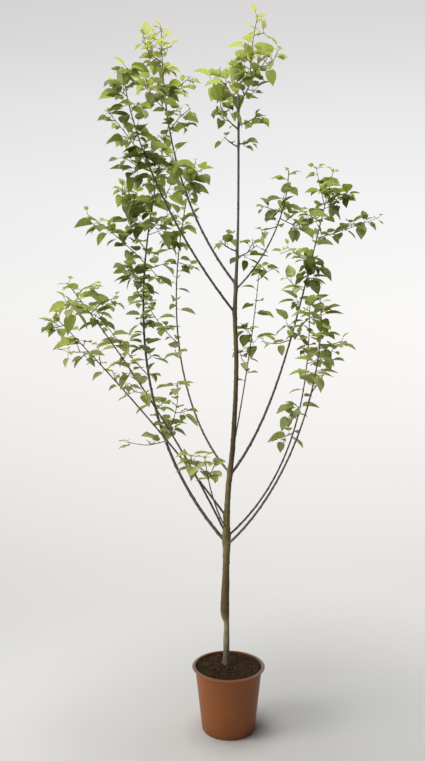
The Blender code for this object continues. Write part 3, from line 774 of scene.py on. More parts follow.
def grow_along(kind, points, radii, size, rng, space, old_share):
    """Buds at even steps and turning angles, each bare, with one leaf or with a leafy spur."""
    length = sum((b - a).length for a, b in zip(points, points[1:]))
    spurs = []
    leaves = []
    buds = []
    turn = rng.uniform(0, 360)
    distance = BUD_SPACING
    while distance < length - BUD_SPACING * 0.3:
        root, direction = path_place(points, distance)
        outward = outward_from(direction, turn)
        young = distance / length >= old_share
        spur = None
        if rng.random() < (YOUNG_WOOD_LEAFING if young else OLD_WOOD_LEAFING):
            if rng.random() < SPUR_CHANCE or not young:
                spur = grow_spur(root, direction, outward, size, rng, space)
                if spur:
                    spurs.append(spur)
            else:
                leaves.append(grow_leaf(root, direction, outward, size, rng))
        if not spur:
            buds.append(Bud(distance, outward))
        turn += BUD_TURN + rng.uniform(-20, 20)
        distance += BUD_SPACING * rng.uniform(0.75, 1.25)
    for index in range(TIP_LEAVES):
        tip, direction = path_place(points, length - 0.003 - 0.004 * index)
        outward = outward_from(direction, turn + index * BUD_TURN)
        leaves.append(grow_leaf(tip, direction * 1.6, outward, size, rng))
    kept = [leaf for leaf in leaves if space.holds(leaf_points(leaf))]
    return [Spray(kind, points, radii, kept, buds)] + spurs


def grow_mass(limb, space):
    """The stem and its named shoots and, from the limb's seed, their spurs and leaves."""
    rng = random.Random(limb.seed)
    size = LEAF_LENGTH * limb.leaf
    start = limb.bare + GAP if limb.bare else 0.0
    stem = path_part(limb_path(limb), start, limb.length)
    distances = np.linspace(start, limb.length, len(stem))
    radii = [limb_radius(limb, distance) for distance in distances]
    sprays = grow_along("stem", stem, radii, size, rng, space, OLD_WOOD if limb.bare else 0.0)
    for shoot in limb.shoots:
        points = shoot_path(limb, shoot)
        radii = list(np.linspace(SHOOT_RADIUS * 1.15, SHOOT_TIP_RADIUS, len(points)))
        sprays += grow_along("shoot", points, radii, size, rng, space, SHOOT_OLD_WOOD)
    return sprays


def carried_on(limb, sprays, space):
    """The same growth one step finer: twiglets that fork off the spurs, and small leaves in the axils. The
    sunlit top branches most."""
    rng = random.Random(limb.seed + FINE_STREAM)
    size = LEAF_LENGTH * limb.leaf
    finer = []
    for spray in sprays:
        if spray.kind == "spur":
            root, direction = path_place(spray.points, (spray.points[1] - spray.points[0]).length * 0.5)
            outward = outward_from(direction, rng.uniform(0, 360))
            length = rng.uniform(*FINE_TWIG_LENGTH)
            wanted = rng.random() < FINE_TWIG_CHANCE * (TOP_BRANCHING if root.z > TOP_HEIGHT else 1)
            count = rng.randint(2, 3)
            way = (direction * 0.8 + outward).normalized()
            tip = root + way * length
            small = size * rng.uniform(*FINE_LEAF_SCALE)
            leaves = [
                grow_leaf(tip, way, outward_from(way, turn * 180 + rng.uniform(0, 180)), small, rng)
                for turn in range(count)
            ]
            leaves = [leaf for leaf in leaves if space.holds(leaf_points(leaf))]
            if wanted and leaves and space.holds([tip]):
                radii = [SHOOT_TIP_RADIUS, SHOOT_TIP_RADIUS * 0.7]
                finer.append(Spray("twiglet", [root, tip], radii, leaves, []))
        else:
            for bud in spray.buds:
                root, direction = path_place(spray.points, bud.distance)
                small = size * rng.uniform(*FINE_LEAF_SCALE)
                leaf = grow_leaf(root, direction, bud.outward, small, rng)
                chance = AXIL_LEAF_CHANCE * (TOP_BRANCHING if root.z > TOP_HEIGHT else 1)
                if rng.random() < chance and space.holds(leaf_points(leaf)):
                    spray.leaves.append(leaf)
    return sprays + finer


@functools.cache
def grown_masses():
    """Every mass's sprays, by name."""
    spaces = space_samples()
    wood = wood_samples()
    masses = {}
    for name, limb in LIMBS.items():
        space = Space(name, spaces, wood)
        masses[name] = carried_on(limb, grow_mass(limb, space), space)
    return masses


# ---- Wood as a mesh ----


def smooth_path(points, step):
    """The path again with no corners, at even steps."""
    ends = [points[0] * 2 - points[1]] + list(points) + [points[-1] * 2 - points[-2]]
    smooth = []
    for a, b, c, d in zip(ends, ends[1:], ends[2:], ends[3:]):
        count = max(1, round((c - b).length / step))
        for index in range(count):
            t = index / count
            bend = (c - a) * t + (a * 2 - b * 5 + c * 4 - d) * t**2 + (b * 3 - a - c * 3 + d) * t**3
            smooth.append(b + bend * 0.5)
    return smooth + [points[-1]]


def extrude_wood(form, points, radii, sides, material=0):
    """A closed tapering limb: one ring extruded from point to point, then drawn in to a blunt tip.
    Returns its rings of vertices."""
    ways = [(b - a).normalized() for a, b in zip(points, points[1:])]
    ways = [ways[0]] + [(a + b).normalized() for a, b in zip(ways, ways[1:])] + [ways[-1]]
    first_face = len(form.faces)
    turn = UP.rotation_difference(ways[0]).to_matrix().to_4x4()
    size = Matrix.Diagonal((radii[0], radii[0], radii[0], 1.0))
    place = Matrix.Translation(points[0]) @ turn @ size
    ring = bmesh.ops.create_circle(form, cap_ends=True, segments=sides, radius=1.0, matrix=place)["verts"]
    rings = [ring]
    corners = set(ring)
    edges = [edge for edge in ring[0].link_faces[0].edges if set(edge.verts) <= corners]
    for index in range(1, len(points)):
        made = bmesh.ops.extrude_edge_only(form, edges=edges)["geom"]
        ring = [item for item in made if isinstance(item, bmesh.types.BMVert)]
        corners = set(ring)
        edges = [item for item in made if isinstance(item, bmesh.types.BMEdge) and set(item.verts) <= corners]
        swing = ways[index - 1].rotation_difference(ways[index]).to_matrix().to_4x4()
        swing *= radii[index] / radii[index - 1]
        swing[3][3] = 1.0
        move = Matrix.Translation(points[index]) @ swing @ Matrix.Translation(-points[index - 1])
        bmesh.ops.transform(form, matrix=move, verts=ring)
        rings.append(ring)
    made = bmesh.ops.extrude_edge_only(form, edges=edges)["geom"]
    cap = [item for item in made if isinstance(item, bmesh.types.BMVert)]
    bmesh.ops.pointmerge(form, verts=cap, merge_co=points[-1] + ways[-1] * radii[-1] * 0.7)
    set_material(form, first_face, material)
    return rings


def knob_relief(along, outward, buds, height, width):
    """How far leaf scars and their knobs push the bark out, in shares of the radius."""
    relief = np.zeros(len(along))
    for bud in buds:
        near = np.abs(along - bud.distance) < width * 3
        reach = np.exp(-(((along[near] - bud.distance) / width) ** 2))
        facing = np.clip(outward[near] @ np.array(bud.outward), 0, 1) ** 2
        relief[near] += reach * (height * facing + height * 0.16)
    return relief


def press_relief(rings, points, relief):
    """Push each ring's corners out from its centre, by what relief gives for them."""
    along = np.repeat(distances_along(points), [len(ring) for ring in rings])
    corners = [corner for ring in rings for corner in ring]
    centres = np.repeat(np.array(points), [len(ring) for ring in rings], axis=0)
    places = np.array([corner.co for corner in corners])
    arms = places - centres
    lengths = np.linalg.norm(arms, axis=1)
    outward = arms / lengths[:, None]
    moved = centres + arms * (1 + relief(along, outward, places))[:, None]
    for corner, place in zip(corners, moved):
        corner.co = place


def grain(places, scale, stretch):
    """Smooth noise along the bark, from -1 to 1."""
    shaped = places * scale * np.array((1.0, 1.0, stretch))
    return np.array([noise.noise(Vector(place)) for place in shaped])


def bud_trail(length, start, seed):
    """Buds at even steps and turning angles along bare wood."""
    rng = random.Random(seed)
    trail = []
    distance = start
    turn = rng.uniform(0, 360)
    while distance < length:
        trail.append((distance, turn))
        turn += BUD_TURN + rng.uniform(-20, 20)
        distance += BUD_SPACING * rng.uniform(0.75, 1.25)
    return trail


def limb_buds(name, limb):
    """Every bud of a limb, on its bare bough and along the stem of its mass, by distance from the trunk."""
    path = limb_path(limb)
    buds = []
    for distance, turn in bud_trail(limb.bare, BOUGH_SCARS_START, limb.seed + SCAR_STREAM):
        buds.append(Bud(distance, outward_from(path_place(path, distance)[1], turn)))
    buds += [bud._replace(distance=bud.distance + limb.bare) for bud in grown_masses()[name][0].buds]
    return buds


def set_youth(layer, rings, shares):
    """Write how young the bark of each ring is."""
    for ring, share in zip(rings, shares):
        for corner in ring:
            corner[layer] = share


def make_limb(name, limb, settings, material):
    """One limb whole, from inside the trunk's bark through its mass to its tip."""
    points = smooth_path(limb_path(limb), settings.ring_step)
    along = distances_along(points)
    form = bmesh.new()
    layer = form.verts.layers.float.new("youth")
    rings = extrude_wood(form, points, [limb_radius(limb, distance) for distance in along], 12)
    buds = limb_buds(name, limb)

    def relief(distance, outward, places):
        knobs = knob_relief(distance, outward, buds, settings.knob_height, 0.0042)
        rough = 0.055 * grain(places, 170, 0.6) + 0.03 * grain(places, 520, 0.4)
        waist = 0.05 * grain(places, 38, 1.0)
        return knobs + rough + waist

    press_relief(rings, points, relief)
    set_youth(layer, rings, [clipped((distance / limb.length - 0.55) / 0.45) ** 1.3 for distance in along])
    bmesh.ops.recalc_face_normals(form, faces=form.faces)
    piece = finish_piece("bark_" + name, form, [material])
    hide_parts("bough_" + name)


# ---- Leaves as meshes ----


def blade_form(rng):
    """One shape of blade, a unit long from its stalk at the origin to its tip along +Y, facing +Z. It is
    folded along its midrib, curved down to its tip and a little waved, and closed underneath."""
    rows = len(BLADE_ROWS) - 1
    form = bmesh.new()
    bmesh.ops.create_grid(form, x_segments=4, y_segments=rows, size=0.5)
    fold = math.radians(rng.uniform(10, 38))
    curl = rng.uniform(0.02, 0.38)
    twist = math.radians(rng.uniform(-22, 22))
    wave = rng.uniform(0.0, 0.035)
    phase = rng.uniform(0, math.tau)
    maps = form.loops.layers.uv.new("blade")
    flat = {}
    for corner in form.verts:
        side = corner.co.x * 2
        share = BLADE_ROWS[round((corner.co.y + 0.5) * rows)]
        half = float(np.interp(share, *BLADE_OUTLINE))
        y = share - 0.07 * abs(side) * (1 - share) ** 3 * min(1.0, share * 12)
        flat[corner] = (side * half, y)
    for face in form.faces:
        for loop in face.loops:
            x, y = flat[loop.vert]
            loop[maps].uv = (abs(x) + 0.02, y)
    for corner in form.verts:
        x, y = flat[corner]
        rise = abs(x) * math.tan(fold) + wave * math.sin(y * 9 + phase + (2 if x > 0 else 0)) * abs(x) * 4
        place = Matrix.Rotation(twist * y, 3, "Y") @ Vector((x * math.cos(fold * 0.5), 0.0, rise))
        angle = curl * 2.2 * y
        reach = Vector((0.0, y * (1 - angle * angle / 12), -curl * y * y))
        lean = Matrix.Rotation(-angle, 3, "X") @ Vector((0.0, 0.0, place.z))
        corner.co = reach + Vector((place.x, lean.y, lean.z))
    bmesh.ops.remove_doubles(form, verts=form.verts, dist=0.0005)
    bmesh.ops.recalc_face_normals(form, faces=form.faces)
    if sum(face.normal.z for face in form.faces) < 0:
        bmesh.ops.reverse_faces(form, faces=form.faces)
    under = bmesh.ops.duplicate(form, geom=form.faces[:])["geom"]
    below = [item for item in under if isinstance(item, bmesh.types.BMFace)]
    bmesh.ops.reverse_faces(form, faces=below)
    for face in below:
        face.material_index = 1
    sunk = [item for item in under if isinstance(item, bmesh.types.BMVert) and not item.is_boundary]
    bmesh.ops.translate(form, verts=sunk, vec=(0, 0, -0.011))
    bmesh.ops.remove_doubles(form, verts=[v for v in form.verts if v.is_boundary], dist=0.0001)
    return as_mesh("blade_form", form)


def blade_frame(leaf, size, level):
    """The place, turn and size of a leaf's blade. Its stalk holds it nearer level than the leaf grew."""
    way = leaf.direction.copy()
    way.z *= 1 - level
    way.normalize()
    facing = leaf.facing.lerp(UP, level)
    facing = (facing - way * facing.dot(way)).normalized()
    turn = Matrix((way.cross(facing), way, facing)).transposed().to_4x4()
    start = leaf.root + leaf.direction * (leaf.length * STALK_SHARE)
    return Matrix.Translation(start) @ turn @ Matrix.Scale(leaf.length * (1 - STALK_SHARE) * size, 4)


def leaf_newness(spray, leaf):
    """How new a leaf is, up to 1 for the newest: at its shoot's growing tip, and at the crown's top."""
    top = clipped((leaf.root.z - CROWN_TOP[0]) / (CROWN_TOP[1] - CROWN_TOP[0]))
    if spray.kind not in ("stem", "shoot"):
        return top
    reach = min(NEW_GROWTH, 0.4 * distances_along(spray.points)[-1])
    return max(top, 1 - (spray.points[-1] - leaf.root).length / reach)


def leaf_tint(spray, leaf, mood):
    """The leaf's tint, as a number from 0, the palest, to 3, the deepest."""
    height = leaf.root.z
    by_metre, start = TOP_GROWTH_AND_LIGHT_PALING[spray.kind]
    # Spurs start deeper, partly as painted shade in dense clusters. Paling below the crown's foot is painted
    # light from the floor; above the start of the top it is partly new growth and partly painted light from
    # above.
    youth = mood + PALENESS[spray.kind]
    youth += NEW_PALING * leaf_newness(spray, leaf) + FLOOR_LIGHT_PALING * max(0.0, FOOT_HEIGHT - height)
    youth += by_metre * max(0.0, height - start)
    return sum(youth <= step for step in TINT_STEPS)


def add_leaf(form, blade, place, first_material):
    """One leaf's blade, turned and scaled to its place."""
    before_faces, before_verts = len(form.faces), len(form.verts)
    form.from_mesh(blade)
    form.verts.ensure_lookup_table()
    form.faces.ensure_lookup_table()
    bmesh.ops.transform(form, matrix=place, verts=form.verts[before_verts:])
    for face in form.faces[before_faces:]:
        face.material_index += first_material


def add_stalk(form, leaf, material):
    """A leaf's stalk, from inside its twig to its blade."""
    end = leaf.root + leaf.direction * (leaf.length * (STALK_SHARE + 0.05))
    middle = leaf.root.lerp(end, 0.5) + UP * (leaf.length * 0.02)
    radius = STALK_RADIUS * (0.7 + leaf.length * 6)
    extrude_wood(form, [leaf.root, middle, end], [radius * 1.3, radius, radius * 0.8], 4, material)


def add_bud(form, place, way, size, material):
    """A small pointed bud."""
    turn = UP.rotation_difference(way).to_matrix().to_4x4()
    shape = Matrix.Diagonal((size * 0.45, size * 0.45, size, 1))
    first = len(form.faces)
    matrix = Matrix.Translation(place + way * size * 0.5) @ turn @ shape
    bmesh.ops.create_icosphere(form, subdivisions=1, radius=1.0, matrix=matrix)
    set_material(form, first, material)


# ---- Operators, one for each piece or group of like pieces ----


class APRICOT_OT_make_stage(bpy.types.Operator):
    """Set the camera, the pale paper floor and the soft studio light"""

    bl_idname = "apricot.make_stage"
    bl_label = "Studio"

    def execute(self, context):
        settings = context.scene.apricot_stage
        camera = add_object("camera", bpy.data.cameras.new("camera"))
        camera.data.sensor_width = 36.0
        camera.data.lens = settings.lens
        camera.location = settings.camera_place
        camera.rotation_euler = (math.radians(90), 0, 0)
        context.scene.camera = camera
        context.scene.view_settings.view_transform = "Standard"
        form = bmesh.new()
        bmesh.ops.create_circle(form, cap_ends=True, segments=96, radius=4.5)
        floor = add_object("paper_floor", as_mesh("paper_floor", form))
        floor.data.materials.append(paper_material(settings.paper))
        self.light("key", settings.key_power, 1.5, (-2.9, -0.9, 2.3), (0.0, 0.0, 0.9), (1.0, 0.97, 0.93))
        self.light("top", settings.top_power, 2.7, (-0.4, 0.25, 4.4), (0.0, 0.0, 1.4), (1.0, 1.0, 0.98))
        context.scene.world = self.surround()
        return {"FINISHED"}

    def light(self, name, power, size, place, aim, colour):
        lamp = add_object(name, bpy.data.lights.new(name, "AREA"))
        lamp.data.energy = power
        lamp.data.shape = "DISK"
        lamp.data.size = size
        lamp.data.color = colour
        lamp.location = place
        lamp.rotation_euler = (Vector(aim) - Vector(place)).to_track_quat("-Z", "Y").to_euler()

    def surround(self):
        """A pale world, brightest near the horizon, that shows and mirrors brighter than it lights. Its light
        comes more from the left, and it is seen a little dimmer there and toward its corners."""
        world = bpy.data.worlds.new("studio")
        world.use_nodes = True
        tree = world.node_tree
        tree.nodes.clear()
        way = add_node(tree, "TexCoord").outputs["Generated"]
        axes = add_node(tree, "SeparateXYZ", {"Vector": way}).outputs
        rise, aside = axes["Z"], axes["X"]
        low, high = -0.5, 0.6
        level = add_node(tree, "MapRange", {"Value": rise, "From Min": low, "From Max": high})
        tones = ((-0.35, "e3e1de"), (-0.27, "e5e3e0"), (-0.20, "ebe9e6"), (-0.10, "f1efed"), (0.02, "f6f4f3"))
        tones += ((0.12, "f6f5f4"), (0.25, "f2f2f2"), (0.38, "e8e8e8"), (0.44, "dfdede"), (0.50, "d8d6d6"))
        stops = [((place - low) / (high - low), linear(code)) for place, code in tones]
        sky = add_node(tree, "ValToRGB", {"Fac": level}, stops)
        sides = {"Value": aside, "From Min": -0.3, "From Max": 0.3, "To Min": 0.97, "To Max": 1.025}
        side = add_node(tree, "MapRange", sides)
        aloft = add_node(tree, "Math", {0: rise, 1: 0.08}, operation="SUBTRACT")
        aloft = add_node(tree, "Math", {0: aloft}, operation="ABSOLUTE")
        spread = add_node(tree, "Math", {0: aside, 1: aside}, operation="MULTIPLY")
        corner = add_node(tree, "Math", {0: aloft, 1: spread}, operation="MULTIPLY")
        corners = {"Value": corner, "From Max": 0.05, "To Min": 1.01, "To Max": 0.95}
        dim = add_node(tree, "MapRange", corners)
        strength = add_node(tree, "Math", {0: side, 1: dim}, operation="MULTIPLY")
        seen = add_node(tree, "Background", {"Color": sky, "Strength": strength})
        lean = add_node(tree, "VectorMath", {0: way, 1: (-0.95, -0.3, 0.0)}, operation="DOT_PRODUCT")
        leftward = {"Value": lean.outputs["Value"], "From Min": -0.42, "To Max": 0.87}
        soft = add_node(tree, "MapRange", leftward)
        lit = add_node(tree, "Background", {"Color": (0.95, 0.97, 1.0), "Strength": soft})
        path = add_node(tree, "LightPath").outputs
        mirrored = {0: path["Is Camera Ray"], 1: path["Is Glossy Ray"]}
        shown = add_node(tree, "Math", mirrored, operation="MAXIMUM")
        add_node(tree, "OutputWorld", {"Surface": add_node(tree, "MixShader", {0: shown, 1: lit, 2: seen})})
        return world


class APRICOT_OT_make_pot(bpy.types.Operator):
    """Turn the thin plastic pot with its rolled rim and cut its drainage notches"""

    bl_idname = "apricot.make_pot"
    bl_label = "Nursery pot"

    def execute(self, context):
        settings = context.scene.apricot_pot
        neck = POT_HEIGHT - POT_RIM_DEPTH
        slope = (POT_NECK_RADIUS - POT_FOOT_RADIUS) / neck
        inside = POT_NECK_RADIUS - POT_WALL
        profile = (
            (0.0, 0.0048),
            (POT_FOOT_RADIUS - POT_WALL - 0.0030, 0.0048),
            (POT_FOOT_RADIUS - POT_WALL + slope * 0.008, 0.0080),
            (inside - slope * 0.100, neck - 0.100),
            (inside, neck),
            (inside + 0.0004, POT_HEIGHT - 0.0014),
            (inside + 0.0011, POT_HEIGHT - 0.0004),
            (inside + 0.0020, POT_HEIGHT),
            (inside + 0.0034, POT_HEIGHT - 0.0002),
            (POT_RIM_RADIUS - 0.0026, POT_HEIGHT - 0.0011),
            (POT_RIM_RADIUS - 0.0011, POT_HEIGHT - 0.0016),
            (POT_RIM_RADIUS - 0.0003, POT_HEIGHT - 0.0022),
            (POT_RIM_RADIUS, POT_HEIGHT - 0.0028),
            (POT_RIM_RADIUS, neck + 0.0005),
            (POT_RIM_RADIUS - 0.0005, neck),
            (POT_RIM_RADIUS - 0.0011, neck + 0.0002),
            (POT_RIM_RADIUS - 0.0014, neck + 0.0018),
            (POT_RIM_RADIUS - 0.0024, neck + 0.0024),
            (POT_NECK_RADIUS + 0.0018, neck + 0.0024),
            (POT_NECK_RADIUS + 0.0006, neck + 0.0016),
            (POT_NECK_RADIUS, neck - 0.0004),
            (POT_NECK_RADIUS - slope * 0.100, neck - 0.100),
            (POT_FOOT_RADIUS + slope * 0.004, 0.0040),
            (POT_FOOT_RADIUS - 0.0002, 0.0018),
            (POT_FOOT_RADIUS - 0.0014, 0.0004),
            (POT_FOOT_RADIUS - 0.0028, 0.0),
            (POT_FOOT_RADIUS - 0.0060, 0.0),
            (POT_FOOT_RADIUS - 0.0072, 0.0008),
            (POT_FOOT_RADIUS - 0.0078, 0.0030),
            (0.0, 0.0030),
        )
        form = turned(profile, settings.turning_steps)
        for face in form.faces:
            centre = face.calc_center_median()
            inner = math.hypot(centre.x, centre.y) < inside - slope * (neck - centre.z) + 0.0003
            flange = centre.z > POT_HEIGHT - 0.0014
            face.material_index = 2 if flange else int(inner and centre.z > 0.004)
        plastic = settings.plastic
        outer = pot_material("moulded_polypropylene", plastic, plastic)
        # The inside wall is the plastic at 0.45, painted shade inside the pot, and it also takes a real stain
        # of peat.
        stained = pot_material("peat_stained_polypropylene", scaled(plastic, 0.45), settings.peat)
        # The flange is half as bright as the body's plastic, and greyed at its left and right sides by a
        # painted reflection.
        rim = pot_material("scuffed_polypropylene", scaled(plastic, 0.5), plastic, linear("6f625b"))
        pot = finish_piece("nursery_pot", form, [outer, stained, rim])
        self.cut_notches(pot)
        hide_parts("pot")
        return {"FINISHED"}

    def cut_notches(self, pot):
        """Cut the notches round the foot, each a low arch, and leave the pot as a plain mesh."""
        form = bmesh.new()
        lay = Matrix.Rotation(math.radians(90), 4, "Y") @ Matrix.Rotation(math.radians(90), 4, "Z")
        size = Matrix.Diagonal((0.012, NOTCH_WIDTH / 2, NOTCH_HEIGHT, 1.0))
        arch = Matrix.Translation((POT_FOOT_RADIUS, 0.0, 0.0)) @ size @ lay
        for index in range(NOTCH_COUNT):
            turn = Matrix.Rotation(math.tau * (index + 0.5) / NOTCH_COUNT, 4, "Z")
            bmesh.ops.create_cone(
                form, cap_ends=True, segments=20, radius1=1.0, radius2=1.0, depth=1.0, matrix=turn @ arch
            )
        arches = add_object("notch_arches", as_mesh("notch_arches", form))
        cut = pot.modifiers.new("notches", "BOOLEAN")
        cut.operation = "DIFFERENCE"
        cut.object = arches
        cut.solver = "EXACT"
        graph = bpy.context.evaluated_depsgraph_get()
        cut_mesh = bpy.data.meshes.new_from_object(pot.evaluated_get(graph))
        pot.modifiers.clear()
        pot.data = cut_mesh
        bpy.data.objects.remove(arches)
        soften(cut_mesh, 40)


def turned(profile, steps):
    """A profile at +X turned round the Z axis into a closed form."""
    form = bmesh.new()
    corners = [form.verts.new((radius, 0.0, height)) for radius, height in profile]
    edges = [form.edges.new(pair) for pair in zip(corners, corners[1:])]
    round_axis = {"cent": (0, 0, 0), "axis": (0, 0, 1), "angle": math.tau}
    bmesh.ops.spin(form, geom=corners + edges, steps=steps, use_merge=True, **round_axis)
    bmesh.ops.remove_doubles(form, verts=form.verts, dist=0.00001)
    bmesh.ops.recalc_face_normals(form, faces=form.faces)
    return form


def soil_height(x, y):
    """The lumpy top of the peat, mounded a little round the trunk."""
    share = clipped((math.hypot(x, y) - SOIL_TOP_RADIUS) / (SOIL_RADIUS - SOIL_TOP_RADIUS))
    base = SOIL_TOP_HEIGHT + (SOIL_EDGE_HEIGHT - SOIL_TOP_HEIGHT) * (3 * share**2 - 2 * share**3)
    place = Vector((x, y, 0.0))
    return base + sum(height * noise.noise(place * scale) for height, scale in SOIL_LUMPS)


class APRICOT_OT_make_soil(bpy.types.Operator):
    """Fill the pot with crumbly peat and strew loose crumbs over it"""

    bl_idname = "apricot.make_soil"
    bl_label = "Root ball"

    def execute(self, context):
        settings = context.scene.apricot_pot
        peat = peat_material(settings.peat)
        count = 44
        top = [(SOIL_RADIUS * index / count, SOIL_TOP_HEIGHT) for index in range(count + 1)]
        sides = [(SOIL_RADIUS - 0.0120, 0.1000), (SOIL_RADIUS - 0.0250, 0.0060), (0.0, 0.0060)]
        form = turned(top + sides, 132)
        for corner in form.verts:
            if corner.co.z > SOIL_TOP_HEIGHT - 0.0001:
                corner.co.z = soil_height(corner.co.x, corner.co.y)
        ball = finish_piece("peat_root_ball", form, [peat], sharp=60)
        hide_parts("root_ball")
        self.strew(settings, peat)
        return {"FINISHED"}

    def strew(self, settings, peat):
        """Crumbs, chips of bark, a few green threads of moss and a few pale grains, half sunk in the peat."""
        rng = random.Random(CRUMB_SEED)
        kinds = (
            (peat, 0.77, (0.6, 2.2)),
            (plain_material("composted_bark", linear("4b3420"), 0.85), 0.16, (1.0, 2.8)),
            (plain_material("moss_threads", linear("4c5420"), 0.9), 0.05, (0.5, 1.3)),
            (plain_material("pale_grit", linear("7c6c58"), 0.8), 0.02, (0.4, 0.9)),
        )
        form = bmesh.new()
        for _ in range(settings.crumbs):
            angle = rng.uniform(0, math.tau)
            reach = (SOIL_RADIUS - 0.0015) * math.sqrt(rng.random())
            pick = rng.random()
            index = 0
            while pick > kinds[index][1] and index < len(kinds) - 1:
                pick -= kinds[index][1]
                index += 1
            if index == 2:
                # The moss keeps to the left at the back.
                angle = rng.gauss(2.2, 0.5)
            x, y = reach * math.cos(angle), reach * math.sin(angle)
            size = settings.crumb_size * rng.uniform(*kinds[index][2]) / 2
            length, width = rng.uniform(0.7, 1.5), rng.uniform(0.6, 1.1)
            shape = Matrix.Diagonal((size * length, size * width, size * 0.7, 1.0))
            spin, tilt = rng.uniform(0, math.tau), rng.uniform(-0.5, 0.5)
            turn = Matrix.Rotation(spin, 4, "Z") @ Matrix.Rotation(tilt, 4, "X")
            place = Matrix.Translation((x, y, soil_height(x, y) + size * 0.15))
            first_face, first_vert = len(form.faces), len(form.verts)
            bmesh.ops.create_icosphere(form, subdivisions=1, radius=1.0, matrix=place @ turn @ shape)
            form.verts.ensure_lookup_table()
            for corner in form.verts[first_vert:]:
                corner.co += Vector([rng.uniform(-1, 1) for _ in range(3)]) * size * 0.22
            set_material(form, first_face, index)
        crumbs = finish_piece("peat_crumbs", form, [kind[0] for kind in kinds], sharp=35)


class APRICOT_OT_make_trunk(bpy.types.Operator):
    """Grow the trunk from its root flare past the graft to its pruned tip"""

    bl_idname = "apricot.make_trunk"
    bl_label = "Trunk"

    def execute(self, context):
        settings = context.scene.apricot_wood
        low, high = TRUNK_COURSE[0][0], TRUNK_COURSE[-1][0]
        count = round((high - low) / 0.0036)
        heights = [low - 0.008] + [low + (high - low) * index / count for index in range(count + 1)]
        points = []
        radii = []
        for height in heights:
            centre, radius = trunk_at(height)
            centre.z = height
            points.append(centre)
            radii.append(radius)
        form = bmesh.new()
        rings = extrude_wood(form, points, radii, 28)
        press_relief(rings, points, self.relief(heights[0], settings))
        bmesh.ops.recalc_face_normals(form, faces=form.faces)
        rootstock, bark, olive = settings.rootstock_bark, settings.trunk_bark, settings.olive_bark
        splashed = blended(rootstock, linear("55402f"), 0.5)
        shaded = scaled(bark, 0.8)
        upper = scaled(blended(bark, olive, 0.6), 0.82)
        tones = (
            (0.225, scaled(splashed, 0.72)),
            (0.27, blended(rootstock, splashed, 0.3)),
            (0.32, rootstock),
            (0.35, rootstock),
            (0.38, bark),
            (0.50, bark),
            (0.60, olive),
            (0.85, olive),
            (0.94, blended(shaded, linear("5a4433"), 0.5)),
            (1.02, shaded),
            (1.15, upper),
            (1.35, upper),
            (1.60, settings.leader_bark),
            (2.17, settings.leader_bark),
        )
        trunk = finish_piece("bark_trunk", form, [bark_material("apricot_trunk_bark", tones, 2.6, 0.72)])
        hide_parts("trunk")
        return {"FINISHED"}

    def relief(self, foot, settings):
        """Root lobes, the graft's shoulder, collars at the boughs' feet, leaf scars and the bark's grain."""
        collars = [(limb.foot, limb.heading, limb.radius) for limb in LIMBS.values()]
        scars = [Bud(distance, outward_from(UP, turn)) for distance, turn in bud_trail(**TRUNK_SCARS)]

        def relief(along, outward, places):
            height = along + foot
            angle = np.arctan2(outward[:, 1], outward[:, 0])
            lobes = 0.09 * np.exp(-np.clip(height - 0.2073, 0, None) / 0.018) * np.cos(angle * 4 + 0.6)
            ledge = np.clip((height - 0.351) / 0.010, 0, 1)
            ledge *= np.exp(-np.clip(height - 0.380, 0, None) / 0.06)
            graft = 0.16 * ledge * np.clip(-outward[:, 0] * 0.9 - outward[:, 1] * 0.3, 0, 1) ** 1.2
            seam = -0.06 * np.exp(-(((height - 0.353) / 0.004) ** 2))
            total = lobes + graft + seam
            for at, heading, radius in collars:
                way = np.array((math.cos(math.radians(heading)), math.sin(math.radians(heading)), 0.0))
                near = np.exp(-(((height - at - 0.006) / (0.010 + radius * 1.5)) ** 2))
                total += 0.34 * near * np.clip(outward @ way, 0, 1) ** 2
            total += knob_relief(along, outward, scars, settings.knob_height * 0.35, 0.005)
            coarse = 0.035 * grain(places, 60, 0.35) + 0.022 * grain(places, 210, 0.5)
            return total + (coarse + 0.012 * grain(places, 420, 2.2))

        return relief


def limb_bark(name, settings, grain_mm, roughness):
    """One tone of bark on all limbs, turning to the young one on their new growth."""
    tones = ((0.6, settings.bough_bark), (1.6, settings.bough_bark))
    return bark_material(name, tones, grain_mm, roughness, settings.young_bark)


class APRICOT_OT_make_boughs(bpy.types.Operator):
    """Grow each bough with its stem through its mass, from the trunk to its tip"""

    bl_idname = "apricot.make_boughs"
    bl_label = "Boughs"

    def execute(self, context):
        settings = context.scene.apricot_wood
        bark = limb_bark("apricot_bough_bark", settings, 1.4, 0.62)
        for name, limb in LIMBS.items():
            if limb.bare:
                make_limb(name, limb, settings, bark)
        return {"FINISHED"}


